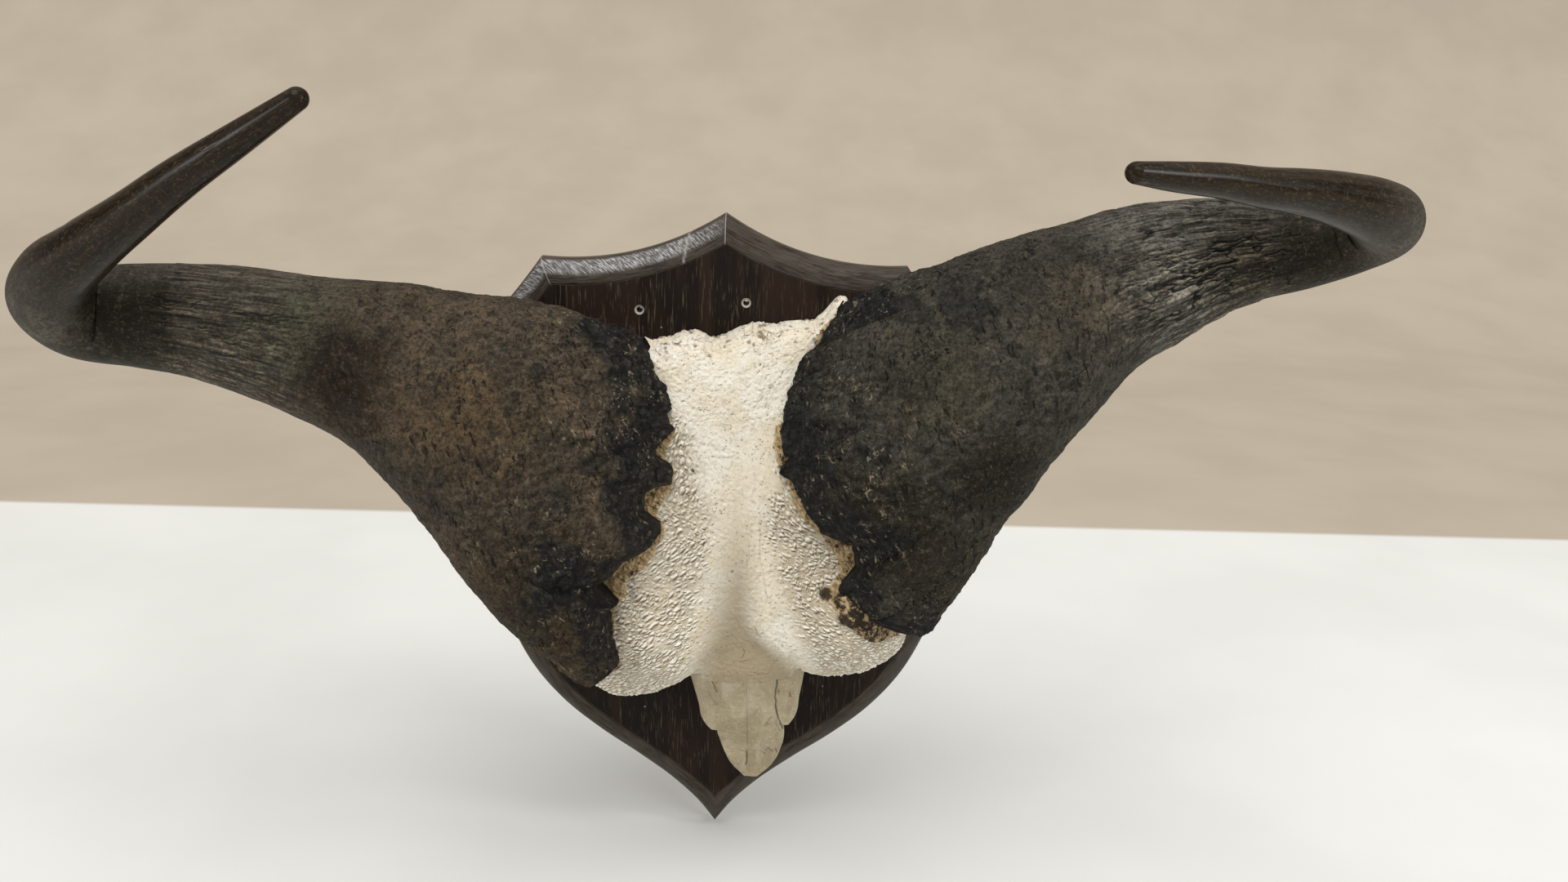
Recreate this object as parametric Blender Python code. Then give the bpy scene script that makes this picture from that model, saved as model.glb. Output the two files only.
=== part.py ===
"""Cape buffalo skull on an oak shield: frontlet, nasal bones and both horns, life size.

Metres, +Z up. The wall is the plane Y = 0 and the front faces -Y. The origin is the
middle of the shield's flat back, halfway between its peak and its bottom tip.
"""

from math import pi

import bmesh
import bpy
import numpy as np

# Clearance that two touching pieces keep
GAP = 0.0003

# Shield plaque: a board with a moulded edge, mirrored about X = 0
SHIELD_HEIGHT = 0.550
SHIELD_DEPTH = 0.024
RIM_DEPTH = 0.005
MOULDING_WIDTH = 0.019
PEAK = (0.0, SHIELD_HEIGHT / 2)
SHOULDER = (0.149, 0.236)
SHOULDER_ARC_SAG = 0.013
CORNER = (0.201, 0.173)
CORNER_ARC_SAG = 0.0015
SIDE_TO_TIP = [
    CORNER,
    (0.202, 0.090),
    (0.198, 0.000),
    (0.185, -0.075),
    (0.160, -0.127),
    (0.135, -0.157),
    (0.103, -0.184),
    (0.069, -0.208),
    (0.038, -0.232),
    (0.014, -0.256),
    (0.0, -SHIELD_HEIGHT / 2),
]
MOULDING_STEPS = 6
SHOULDER_SAMPLES = 12
CORNER_SAMPLES = 5
SIDE_SAMPLES = 27
SCREW_HOLES = [(-0.068, 0.197), (0.018, 0.205)]
SCREW_HOLE_RADIUS = 0.0023
COUNTERSINK_RADIUS = 0.0036

# Horns. Each station along a horn is its core point x, y, z, the section's half height
# and half depth, the lean of its height in degrees, and how far the section bulges
# towards the midline of the skull.
LEFT_HORN = [
    (-0.050, -0.086, 0.050, 0.127, 0.014, 83, 0.036),
    (-0.074, -0.090, 0.048, 0.137, 0.018, 83, 0.036),
    (-0.088, -0.101, 0.051, 0.142, 0.026, 85, 0.032),
    (-0.120, -0.112, 0.071, 0.136, 0.048, 88, 0.018),
    (-0.159, -0.112, 0.093, 0.124, 0.057, 89, 0.008),
    (-0.205, -0.105, 0.125, 0.093, 0.055, 87, 0.0),
    (-0.254, -0.098, 0.157, 0.067, 0.051, 86, 0.0),
    (-0.300, -0.091, 0.170, 0.055, 0.048, 86, 0.0),
    (-0.345, -0.084, 0.180, 0.049, 0.045, 87, 0.0),
    (-0.393, -0.078, 0.187, 0.044, 0.041, 87, 0.0),
    (-0.443, -0.076, 0.190, 0.040, 0.038, 88, 0.0),
    (-0.479, -0.090, 0.194, 0.035, 0.035, 90, 0.0),
    (-0.484, -0.114, 0.207, 0.030, 0.030, 90, 0.0),
    (-0.466, -0.140, 0.228, 0.0255, 0.0255, 90, 0.0),
    (-0.431, -0.163, 0.250, 0.0208, 0.0208, 90, 0.0),
    (-0.385, -0.187, 0.277, 0.0165, 0.0165, 90, 0.0),
    (-0.344, -0.206, 0.302, 0.0138, 0.0138, 90, 0.0),
    (-0.294, -0.227, 0.330, 0.0106, 0.0106, 90, 0.0),
    (-0.252, -0.243, 0.354, 0.0076, 0.0076, 90, 0.0),
]
RIGHT_HORN = [
    (0.098, -0.086, 0.080, 0.121, 0.014, 105, 0.062),
    (0.119, -0.090, 0.080, 0.133, 0.018, 105, 0.062),
    (0.132, -0.101, 0.090, 0.135, 0.026, 104, 0.052),
    (0.156, -0.112, 0.115, 0.127, 0.048, 102, 0.030),
    (0.188, -0.112, 0.149, 0.106, 0.057, 103, 0.012),
    (0.223, -0.105, 0.182, 0.087, 0.055, 106, 0.0),
    (0.255, -0.098, 0.206, 0.073, 0.052, 106, 0.0),
    (0.287, -0.091, 0.227, 0.061, 0.049, 105, 0.0),
    (0.324, -0.084, 0.243, 0.055, 0.046, 103, 0.0),
    (0.360, -0.078, 0.255, 0.047, 0.042, 102, 0.0),
    (0.400, -0.074, 0.263, 0.039, 0.038, 100, 0.0),
    (0.440, -0.078, 0.270, 0.034, 0.034, 95, 0.0),
    (0.470, -0.092, 0.281, 0.0305, 0.0305, 90, 0.0),
    (0.479, -0.118, 0.291, 0.0270, 0.0270, 90, 0.0),
    (0.460, -0.143, 0.300, 0.0235, 0.0235, 90, 0.0),
    (0.423, -0.169, 0.309, 0.0193, 0.0193, 90, 0.0),
    (0.384, -0.193, 0.315, 0.0156, 0.0156, 90, 0.0),
    (0.350, -0.213, 0.318, 0.0134, 0.0134, 90, 0.0),
    (0.318, -0.231, 0.322, 0.0117, 0.0117, 90, 0.0),
    (0.275, -0.255, 0.325, 0.0093, 0.0093, 90, 0.0),
    (0.251, -0.269, 0.327, 0.0072, 0.0072, 90, 0.0),
]
HORN_RINGS = 52
HORN_SIDES = 30
BOSS_SQUARENESS = 2.3
BOSS_PITCH = 0.14
TIP_RINGS = 4

# Ragged edge of each horn sheath where it ends on the bone, x and z from top to bottom
LEFT_SHEATH_EDGE = [
    (-0.100, 0.280),
    (-0.058, 0.189),
    (-0.048, 0.163),
    (-0.036, 0.142),
    (-0.034, 0.121),
    (-0.044, 0.107),
    (-0.033, 0.087),
    (-0.051, 0.072),
    (-0.041, 0.041),
    (-0.056, 0.022),
    (-0.077, 0.005),
    (-0.068, -0.009),
    (-0.082, -0.026),
    (-0.074, -0.065),
    (-0.090, -0.083),
    (-0.120, -0.160),
]
RIGHT_SHEATH_EDGE = [
    (0.108, 0.290),
    (0.086, 0.209),
    (0.072, 0.190),
    (0.056, 0.167),
    (0.049, 0.140),
    (0.046, 0.120),
    (0.049, 0.105),
    (0.055, 0.085),
    (0.069, 0.057),
    (0.094, 0.038),
    (0.108, 0.034),
    (0.111, 0.016),
    (0.097, 0.001),
    (0.098, -0.020),
    (0.115, -0.033),
    (0.150, -0.040),
    (0.190, -0.120),
]

# Frontal bone: outline x and z, clockwise from the top left, with the share of the
# bone's depth that stands at the edge there (a low share is a rounded brow)
BONE_BACK = -SHIELD_DEPTH - GAP
FRONTAL_OUTLINE = [
    (-0.066, 0.175, 0.85),
    (-0.046, 0.176, 0.85),
    (-0.025, 0.183, 0.85),
    (-0.009, 0.178, 0.85),
    (0.006, 0.182, 0.85),
    (0.020, 0.189, 0.85),
    (0.050, 0.191, 0.85),
    (0.076, 0.196, 0.85),
    (0.094, 0.213, 0.70),
    (0.118, 0.190, 0.35),
    (0.146, 0.135, 0.30),
    (0.162, 0.070, 0.30),
    (0.166, 0.010, 0.25),
    (0.164, -0.045, 0.20),
    (0.156, -0.081, 0.15),
    (0.129, -0.100, 0.12),
    (0.097, -0.104, 0.12),
    (0.0735, -0.0940, 0.50),
    (0.026, -0.0960, 0.90),
    (-0.0215, -0.1010, 0.50),
    (-0.034, -0.109, 0.20),
    (-0.060, -0.125, 0.12),
    (-0.094, -0.129, 0.12),
    (-0.116, -0.108, 0.15),
    (-0.120, -0.040, 0.20),
    (-0.124, 0.020, 0.25),
    (-0.116, 0.090, 0.30),
    (-0.094, 0.145, 0.35),
]
FRONTAL_SPINE = [(0.014, 0.120), (0.028, -0.030)]
SPINE_POINTS = 7
FRONTAL_PROFILE = [(-0.100, 0.096), (-0.020, 0.108), (0.050, 0.106), (0.120, 0.094), (0.200, 0.074)]
BROW_LOBES = [(-0.062, -0.060, 0.020), (0.108, -0.040, 0.020)]
BROW_LOBE_RADIUS = 0.038
FLAT_SHARE = 0.45
FRONTAL_RINGS = 8
FRONTAL_SAMPLES = 84

# Nasal bones: an arched shell that narrows to a blunt tip, parted lengthwise by seams
NASAL_ROOT = ((-0.0205, -0.0925), (0.0740, -0.0845))
NASAL_TIP_Z = -0.199
NASAL_ROOT_FRONT = 0.0945
NASAL_TIP_FRONT = 0.062
NASAL_THICKNESS = 0.007
NASAL_ARCH = 0.010
NASAL_ROWS = 14
NASAL_COLUMNS = 4
SEAMS = {
    "outer_left": [(-0.0205, -0.0925), (-0.0135, -0.122), (-0.0085, -0.143), (0.0005, -0.153)],
    "left": [
        (-0.003, -0.091),
        (0.002, -0.122),
        (0.003, -0.153),
        (0.0085, -0.172),
        (0.0165, -0.188),
        (0.026, -0.199),
    ],
    "middle": [(0.026, -0.088), (0.027, -0.130), (0.029, -0.170), (0.031, -0.199)],
    "right": [
        (0.054, -0.086),
        (0.048, -0.108),
        (0.052, -0.130),
        (0.0585, -0.147),
        (0.0565, -0.169),
        (0.0495, -0.186),
        (0.037, -0.199),
    ],
    "outer_right": [(0.0740, -0.0845), (0.0705, -0.112), (0.0665, -0.137), (0.0600, -0.147)],
}

# Finishes: colour, roughness
HORN_LEFT_LOOK = ((0.045, 0.032, 0.022), 0.55)
HORN_RIGHT_LOOK = ((0.036, 0.033, 0.027), 0.55)
BONE_LOOK = ((0.72, 0.64, 0.50), 0.75)
NASAL_LOOK = ((0.55, 0.47, 0.33), 0.65)
OAK_LOOK = ((0.022, 0.012, 0.008), 0.40)


def clear_scene():
    for thing in list(bpy.data.objects):
        bpy.data.objects.remove(thing)


def new_collection(name):
    collection = bpy.data.collections.new(name)
    bpy.context.scene.collection.children.link(collection)
    return collection


def finish(name, look):
    """A plain finish for one piece."""
    colour, roughness = look
    material = bpy.data.materials.new(name)
    material.use_nodes = True
    shader = material.node_tree.nodes["Principled BSDF"]
    shader.inputs["Base Color"].default_value = (*colour, 1.0)
    shader.inputs["Roughness"].default_value = roughness
    return material


def add_object(name, mesh, collection):
    thing = bpy.data.objects.new(name, mesh)
    collection.objects.link(thing)
    return thing


def mesh_from_bmesh(name, shape):
    """Turns the faces outwards and stores the shape as a mesh."""
    bmesh.ops.recalc_face_normals(shape, faces=shape.faces)
    mesh = bpy.data.meshes.new(name)
    shape.to_mesh(mesh)
    shape.free()
    return mesh


def smooth_curve(knots, values, places):
    """Reads, at the places given, the smooth curve that passes through values at knots."""
    knots = np.asarray(knots, float)
    values = np.asarray(values, float)
    slopes = np.gradient(values, knots, axis=0)
    span = np.clip(np.searchsorted(knots, places, side="right") - 1, 0, len(knots) - 2)
    width = (knots[span + 1] - knots[span])[:, None]
    part = (np.asarray(places) - knots[span])[:, None] / width
    start, end = values[span], values[span + 1]
    lead_out, lead_in = slopes[span] * width, slopes[span + 1] * width
    return (
        start * (2 * part**3 - 3 * part**2 + 1)
        + lead_out * (part**3 - 2 * part**2 + part)
        + end * (3 * part**2 - 2 * part**3)
        + lead_in * (part**3 - part**2)
    )


def run_lengths(points):
    """Distance from the first point to each point, along the straight runs between them."""
    steps = np.linalg.norm(np.diff(np.asarray(points, float), axis=0), axis=1)
    return np.concatenate([[0.0], np.cumsum(steps)])


def arc_between(start, end, sag, count):
    """Points after start up to end on a shallow arc that dips by sag to the chord's right."""
    start, end = np.array(start), np.array(end)
    chord = end - start
    right = np.array([chord[1], -chord[0]]) / np.linalg.norm(chord)
    shares = np.arange(1, count + 1) / count
    return [tuple(start + chord * u + right * sag * 4 * u * (1 - u)) for u in shares]


def evenly_spaced(points, count):
    """Reads a line of points again at equal steps along its own length."""
    lengths = run_lengths(points)
    places = np.linspace(0, lengths[-1], count)
    return np.column_stack([np.interp(places, lengths, axis) for axis in np.transpose(points)])


def shield_outline():
    """The whole outline, clockwise from the peak."""
    lengths = run_lengths(SIDE_TO_TIP)
    side = smooth_curve(lengths, SIDE_TO_TIP, np.linspace(0, lengths[-1], SIDE_SAMPLES))
    half = (
        [PEAK]
        + arc_between(PEAK, SHOULDER, SHOULDER_ARC_SAG, SHOULDER_SAMPLES)
        + arc_between(SHOULDER, CORNER, CORNER_ARC_SAG, CORNER_SAMPLES)
        + [tuple(point) for point in side[1:]]
    )
    return half + [(-x, z) for x, z in half[-2:0:-1]]


def inset(outline, distance):
    """Moves the shield's outline inwards, with mitred corners and both sides parted at X = 0."""
    corner = SHOULDER_SAMPLES + CORNER_SAMPLES
    half = mitred(outline, distance)[:corner + SIDE_SAMPLES]
    side = half[corner:]
    crossed = np.argmax(side[:, 0] < 1e-6)
    last, beyond = side[crossed - 1], side[crossed]
    tip = last + (beyond - last) * last[0] / (last[0] - beyond[0])
    side = evenly_spaced(np.vstack([side[:crossed], tip]), SIDE_SAMPLES)
    half = np.vstack([half[:corner], side])
    return np.vstack([half, half[-2:0:-1] * (-1, 1)])


def mitred(outline, distance):
    """Moves a clockwise outline inwards by a distance."""
    points = np.array(outline)
    before = np.roll(points, 1, axis=0)
    after = np.roll(points, -1, axis=0)

    def inward(first, second):
        run = second - first
        run /= np.linalg.norm(run, axis=1)[:, None]
        return np.column_stack([run[:, 1], -run[:, 0]])

    normal_in, normal_out = inward(before, points), inward(points, after)
    mitre = normal_in + normal_out
    mitre /= (mitre * normal_out).sum(axis=1)[:, None]
    return points + mitre * distance


def make_shield(collection):
    """The board: its moulded edge rises in a quarter round from a thin rim to the field."""
    outline = shield_outline()
    levels = [(0.0, 0.0), (0.0, -RIM_DEPTH)]
    for step in range(1, MOULDING_STEPS + 1):
        turn = pi / 2 * step / MOULDING_STEPS
        levels.append((
            MOULDING_WIDTH * (1 - np.cos(turn)),
            -RIM_DEPTH - (SHIELD_DEPTH - RIM_DEPTH) * np.sin(turn),
        ))
    shape = bmesh.new()
    rings = []
    for distance, y in levels:
        rings.append([shape.verts.new((x, y, z)) for x, z in inset(outline, distance)])
    for lower, upper in zip(rings, rings[1:]):
        join_rings(shape, lower, upper)
    shape.faces.new(rings[0])
    shape.faces.new(rings[-1])
    board = add_object("plaque", mesh_from_bmesh("plaque", shape), collection)
    board.data.materials.append(finish("dark oak", OAK_LOOK))
    return board


def join_rings(shape, ring, following):
    """Triangles between two rings of equal count, all split along the same diagonal."""
    count = len(ring)
    for i in range(count):
        j = (i + 1) % count
        shape.faces.new((ring[i], ring[j], following[j]))
        shape.faces.new((ring[i], following[j], following[i]))


def drill(board, x, z, cutters):
    """A screw hole right through the field, with its mouth countersunk."""
    shape = bmesh.new()
    rings = []
    sink = COUNTERSINK_RADIUS - SCREW_HOLE_RADIUS
    for radius, y in (
        (SCREW_HOLE_RADIUS, 0.01),
        (SCREW_HOLE_RADIUS, -SHIELD_DEPTH + sink),
        (COUNTERSINK_RADIUS, -SHIELD_DEPTH),
        (COUNTERSINK_RADIUS, -SHIELD_DEPTH - 0.01),
    ):
        turns = [2 * pi * k / 16 for k in range(16)]
        rings.append([
            shape.verts.new((x + radius * np.cos(t), y, z + radius * np.sin(t))) for t in turns
        ])
    for lower, upper in zip(rings, rings[1:]):
        join_rings(shape, lower, upper)
    shape.faces.new(rings[0])
    shape.faces.new(rings[-1])
    cutter = add_object("screw_hole", mesh_from_bmesh("screw_hole", shape), cutters)
    combine(board, cutter, "DIFFERENCE")


def combine(target, tool, operation):
    """Adds a Boolean to the target; the tool stays as a hidden cutter."""
    tool.hide_render = True
    tool.display_type = "WIRE"
    modifier = target.modifiers.new(tool.name, "BOOLEAN")
    modifier.operation = operation
    modifier.solver = "EXACT"
    modifier.object = tool


def settle(thing):
    """Applies the modifiers and keeps the largest closed surface."""
    evaluated = thing.evaluated_get(bpy.context.evaluated_depsgraph_get())
    shape = bmesh.new()
    shape.from_mesh(bpy.data.meshes.new_from_object(evaluated))
    groups = []
    seen = set()
    for start in shape.faces:
        if start in seen:
            continue
        group, edge = {start}, [start]
        while edge:
            for side in edge.pop().edges:
                for face in side.link_faces:
                    if face not in group:
                        group.add(face)
                        edge.append(face)
        seen |= group
        groups.append(group)
    largest = max(groups, key=lambda group: sum(face.calc_area() for face in group))
    bmesh.ops.delete(shape, geom=[face for face in shape.faces if face not in largest], context="FACES")
    materials = list(thing.data.materials)
    thing.modifiers.clear()
    thing.data = mesh_from_bmesh(thing.name, shape)
    thing.data.materials.clear()
    for material in materials:
        thing.data.materials.append(material)


def horn_rings(stations, side, grow=0.0):
    """Rings of points along a horn; side is 1 on the viewer's left and -1 on the right."""
    knots = run_lengths([station[:3] for station in stations])
    places = np.linspace(0.0, knots[-1], HORN_RINGS)
    values = smooth_curve(knots, stations, places)
    core = values[:, :3]
    along = np.gradient(core, places, axis=0)
    along /= np.linalg.norm(along, axis=1)[:, None]
    lean = np.radians(values[:, 5])
    to_midline = side * np.column_stack([np.sin(lean), np.zeros(len(lean)), -np.cos(lean)])
    roundness = np.clip((places / knots[-1] - 0.25) / 0.2, 0.0, 1.0)[:, None]
    height = np.column_stack([np.cos(lean), BOSS_PITCH * (1 - roundness[:, 0]), np.sin(lean)])
    height -= roundness * (height * along).sum(axis=1)[:, None] * along
    height /= np.linalg.norm(height, axis=1)[:, None]
    depth = side * np.cross(height, along)
    depth /= np.linalg.norm(depth, axis=1)[:, None]
    power = 2 / (BOSS_SQUARENESS + (2 - BOSS_SQUARENESS) * roundness)
    turn = 2 * pi * np.arange(HORN_SIDES) / HORN_SIDES
    up = np.sign(np.cos(turn)) * np.abs(np.cos(turn)) ** power
    out = np.sign(np.sin(turn)) * np.abs(np.sin(turn)) ** power
    return (
        core[:, None, :]
        + (values[:, 3:4] + grow)[:, :, None] * up[:, :, None] * height[:, None, :]
        + (values[:, 4:5] + grow)[:, :, None] * out[:, :, None] * depth[:, None, :]
        + (values[:, 6:7])[:, :, None] * (1 - up**2)[:, :, None] * to_midline[:, None, :]
    ), along[-1]


def make_horn_form(name, stations, side, collection, grow=0.0):
    """The whole horn as one loft: closed by a strip inside the bone and a round tip."""
    points, tip_way = horn_rings(stations, side, grow)
    shape = bmesh.new()
    rings = [[shape.verts.new(point) for point in ring] for ring in points]
    centre = points[-1].mean(axis=0)
    radius = stations[-1][3] + grow
    for step in range(1, TIP_RINGS):
        turn = pi / 2 * step / TIP_RINGS
        ring = centre + (points[-1] - centre) * np.cos(turn) + tip_way * radius * np.sin(turn)
        rings.append([shape.verts.new(point) for point in ring])
    for ring, following in zip(rings, rings[1:]):
        join_rings(shape, ring, following)
    pole = shape.verts.new(centre + tip_way * radius)
    last = rings[-1]
    for i in range(HORN_SIDES):
        shape.faces.new((last[i], last[(i + 1) % HORN_SIDES], pole))
    first = rings[0]
    for i in range(HORN_SIDES // 2):
        corners = [first[i], first[i + 1], first[-i - 1], first[-i % HORN_SIDES]]
        shape.faces.new(list(dict.fromkeys(corners)))
    return add_object(name, mesh_from_bmesh(name, shape), collection)


def make_bone_side(name, edge, side, shift, cutters):
    """A block on the bone's side of a sheath edge, moved towards the midline by shift."""
    outline = [(x + side * shift, z) for x, z in edge]
    far = side * 0.5
    outline += [(far, edge[-1][1]), (far, edge[0][1])]
    return make_block(name, outline, cutters)


def make_block(name, outline, cutters):
    """A block that runs through the whole part from front to back."""
    shape = bmesh.new()
    face = shape.faces.new([shape.verts.new((x, -0.4, z)) for x, z in outline])
    grown = bmesh.ops.extrude_face_region(shape, geom=[face])["geom"]
    moved = [item for item in grown if isinstance(item, bmesh.types.BMVert)]
    bmesh.ops.translate(shape, verts=moved, vec=(0, 0.5, 0))
    return add_object(name, mesh_from_bmesh(name, shape), cutters)


def make_horn(name, stations, edge, side, look, collection, cutters):
    """One horn, cut off along its sheath's ragged edge."""
    horn = make_horn_form(name, stations, side, collection)
    horn.data.materials.append(finish(name + " sheath", look))
    combine(horn, make_bone_side(name + "_bone_side", edge, side, 0.0, cutters), "DIFFERENCE")
    settle(horn)
    seat = make_horn_form(name + "_seat", stations, side, cutters, grow=GAP)
    bone_side = make_bone_side(name + "_seat_side", edge, side, 2 * GAP, cutters)
    combine(seat, bone_side, "DIFFERENCE")
    settle(seat)
    return seat


def frontal_depth(x, z):
    """Distance of the bone's front from the wall, before its edges are rounded."""
    heights, depths = zip(*FRONTAL_PROFILE)
    depth = smooth_curve(heights, np.array(depths)[:, None], np.array([z]))[0, 0]
    for lobe_x, lobe_z, rise in BROW_LOBES:
        away = ((x - lobe_x) ** 2 + (z - lobe_z) ** 2) / BROW_LOBE_RADIUS**2
        depth += rise * np.exp(-away)
    return depth


def make_nasal_notch(cutters):
    """A block below the line where the nasal bones meet the frontal bone."""
    (left_x, left_z), (right_x, right_z) = NASAL_ROOT
    return make_block("nasal_notch", [
        (left_x - GAP, left_z),
        (right_x + GAP, right_z),
        (right_x + GAP, NASAL_TIP_Z),
        (left_x - GAP, NASAL_TIP_Z),
    ], cutters)


def make_frontal(seats, collection):
    """The frontal bone: flat at the back, domed in front, with two brow lobes below."""
    closed = np.array(FRONTAL_OUTLINE + FRONTAL_OUTLINE[:1])
    knots = run_lengths(closed[:, :2])
    outline = smooth_curve(knots, closed, np.linspace(0, knots[-1], FRONTAL_SAMPLES + 1)[:-1])
    top, bottom = np.array(FRONTAL_SPINE)
    down_spine = np.clip((outline[:, 1] - top[1]) / (bottom[1] - top[1]), 0, 1)
    shape = bmesh.new()
    spine = [
        shape.verts.new((x, -frontal_depth(x, z), z))
        for x, z in evenly_spaced([top, bottom], SPINE_POINTS)
    ]
    rings = []
    for k in range(1, FRONTAL_RINGS + 1):
        share = k / FRONTAL_RINGS
        drop = max(0.0, (share - FLAT_SHARE) / (1 - FLAT_SHARE))
        round_off = (1 - drop**2.2) ** (1 / 2.2)
        ring = []
        for (x, z, kept), along in zip(outline, down_spine):
            inner = top + (bottom - top) * along
            px, pz = inner + (np.array([x, z]) - inner) * share
            rise = (frontal_depth(px, pz) + BONE_BACK) * (kept + (1 - kept) * round_off)
            ring.append(shape.verts.new((px, BONE_BACK - rise, pz)))
        rings.append(ring)
    rings.append([shape.verts.new((x, BONE_BACK, z)) for x, z, _ in outline])
    for ring, following in zip(rings, rings[1:]):
        join_rings(shape, ring, following)
    close_on_spine(shape, rings[0], spine, np.rint(down_spine * (SPINE_POINTS - 1)).astype(int))
    shape.faces.new(rings[-1])
    bone = add_object("skull_frontal", mesh_from_bmesh("skull_frontal", shape), collection)
    bone.data.materials.append(finish("frontal bone", BONE_LOOK))
    for seat in seats:
        combine(bone, seat, "DIFFERENCE")
    settle(bone)
    return bone


def close_on_spine(shape, ring, spine, nearest):
    """Closes a ring on a line of points; nearest says which of them each ring point meets."""
    for i in range(len(ring)):
        j = (i + 1) % len(ring)
        here, there = nearest[i], nearest[j]
        shape.faces.new((ring[i], ring[j], spine[here]))
        step = 1 if there > here else -1
        for k in range(here, there, step):
            shape.faces.new((ring[j], spine[k + step], spine[k]))


def seam_x(name, z):
    """Where a seam of the nasal bones lies at a height."""
    points = SEAMS[name][::-1]
    heights = [point[1] for point in points]
    across = np.array([[point[0]] for point in points])
    return smooth_curve(heights, across, np.clip([z], heights[0], heights[-1]))[0, 0]


def nasal_front(x, z):
    """Distance from the wall of the arched front of the nasal bones."""
    along = (NASAL_ROOT[0][1] - z) / (NASAL_ROOT[0][1] - NASAL_TIP_Z)
    ridge = NASAL_ROOT_FRONT + (NASAL_TIP_FRONT - NASAL_ROOT_FRONT) * along
    half_width = (NASAL_ROOT[1][0] - NASAL_ROOT[0][0]) / 2
    off_middle = (x - seam_x("middle", z)) / half_width
    return ridge - NASAL_ARCH * off_middle**2


def make_nasal_strip(name, first_seam, second_seam, end_z, collection):
    """One strip of the nasal arch between two seams, from the frontal bone down to end_z."""
    (left_x, left_z), (right_x, right_z) = NASAL_ROOT
    shape = bmesh.new()
    rings = []
    for row in range(NASAL_ROWS + 1):
        ring = []
        for column in range(NASAL_COLUMNS + 1):
            across = column / NASAL_COLUMNS
            root_start, root_end = seam_x(first_seam, left_z), seam_x(second_seam, right_z)
            root_x = root_start + (root_end - root_start) * across
            root_z = left_z + (right_z - left_z) * (root_x - left_x) / (right_x - left_x) - GAP
            z = root_z + (end_z - root_z) * row / NASAL_ROWS
            edge_in = seam_x(first_seam, z) + GAP / 2
            edge_out = seam_x(second_seam, z) - GAP / 2
            x = edge_in + (edge_out - edge_in) * across
            ring.append((x, z))
        front = [shape.verts.new((x, -nasal_front(x, z), z)) for x, z in ring]
        back = [shape.verts.new((x, -nasal_front(x, z) + NASAL_THICKNESS, z)) for x, z in reversed(ring)]
        rings.append(front + back)
    for ring, following in zip(rings, rings[1:]):
        join_rings(shape, ring, following)
    for ring in (rings[0], rings[-1]):
        for i in range(NASAL_COLUMNS):
            shape.faces.new((ring[i], ring[i + 1], ring[-i - 2], ring[-i - 1]))
    strip = add_object(name, mesh_from_bmesh(name, shape), collection)
    strip.data.materials.append(finish(name + " bone", NASAL_LOOK))
    return strip


def main():
    clear_scene()
    parts = new_collection("cape_buffalo_skull")
    cutters = new_collection("cutters")
    board = make_shield(parts)
    for x, z in SCREW_HOLES:
        drill(board, x, z, cutters)
    seats = [
        make_horn("horn_left", LEFT_HORN, LEFT_SHEATH_EDGE, 1, HORN_LEFT_LOOK, parts, cutters),
        make_horn("horn_right", RIGHT_HORN, RIGHT_SHEATH_EDGE, -1, HORN_RIGHT_LOOK, parts, cutters),
    ]
    make_frontal(seats + [make_nasal_notch(cutters)], parts)
    make_nasal_strip("maxilla_left", "outer_left", "left", -0.150, parts)
    make_nasal_strip("nasal_left", "left", "middle", NASAL_TIP_Z, parts)
    make_nasal_strip("nasal_right", "middle", "right", NASAL_TIP_Z, parts)
    make_nasal_strip("maxilla_right", "right", "outer_right", -0.144, parts)


main()
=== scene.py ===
"""Looks of the cape buffalo frontlet: horns, frontal bone, nasal bones and oak shield.

Metres, +Z up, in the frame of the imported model: the wall is Y = 0 and the front faces -Y.
"""

from math import cos, pi, sin

import bmesh
import bpy
import numpy as np
from mathutils import Matrix, Vector, noise


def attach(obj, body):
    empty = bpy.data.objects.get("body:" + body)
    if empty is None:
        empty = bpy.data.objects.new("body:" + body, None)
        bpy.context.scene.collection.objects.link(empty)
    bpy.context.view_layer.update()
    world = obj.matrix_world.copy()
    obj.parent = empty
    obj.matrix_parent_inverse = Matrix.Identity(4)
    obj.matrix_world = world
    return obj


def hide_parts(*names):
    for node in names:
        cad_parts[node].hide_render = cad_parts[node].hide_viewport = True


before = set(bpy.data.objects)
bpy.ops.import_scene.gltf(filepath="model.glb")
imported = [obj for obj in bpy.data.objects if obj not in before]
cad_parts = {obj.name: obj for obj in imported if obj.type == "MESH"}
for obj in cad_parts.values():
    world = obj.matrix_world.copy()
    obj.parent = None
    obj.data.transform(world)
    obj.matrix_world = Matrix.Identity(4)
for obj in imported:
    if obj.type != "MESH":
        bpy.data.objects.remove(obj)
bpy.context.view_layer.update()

DETAIL = 1.0

# Shield plaque
SHIELD_HEIGHT = 0.550
SHIELD_DEPTH = 0.024
RIM_DEPTH = 0.005
MOULDING_WIDTH = 0.019
PEAK = (0.0, SHIELD_HEIGHT / 2)
SHOULDER = (0.149, 0.236)
SHOULDER_ARC_SAG = 0.013
CORNER = (0.201, 0.173)
CORNER_ARC_SAG = 0.0015
SIDE_TO_TIP = [
    CORNER,
    (0.202, 0.090),
    (0.198, 0.000),
    (0.185, -0.075),
    (0.160, -0.127),
    (0.135, -0.157),
    (0.103, -0.184),
    (0.069, -0.208),
    (0.038, -0.232),
    (0.014, -0.256),
    (0.0, -SHIELD_HEIGHT / 2),
]
MOULDING_STEPS = 26
SHOULDER_SAMPLES = 90
CORNER_SAMPLES = 36
SIDE_SAMPLES = 230
SCREW_HOLES = [(-0.068, 0.197), (0.018, 0.205)]
SCREW_HOLE_RADIUS = 0.0023
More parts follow.
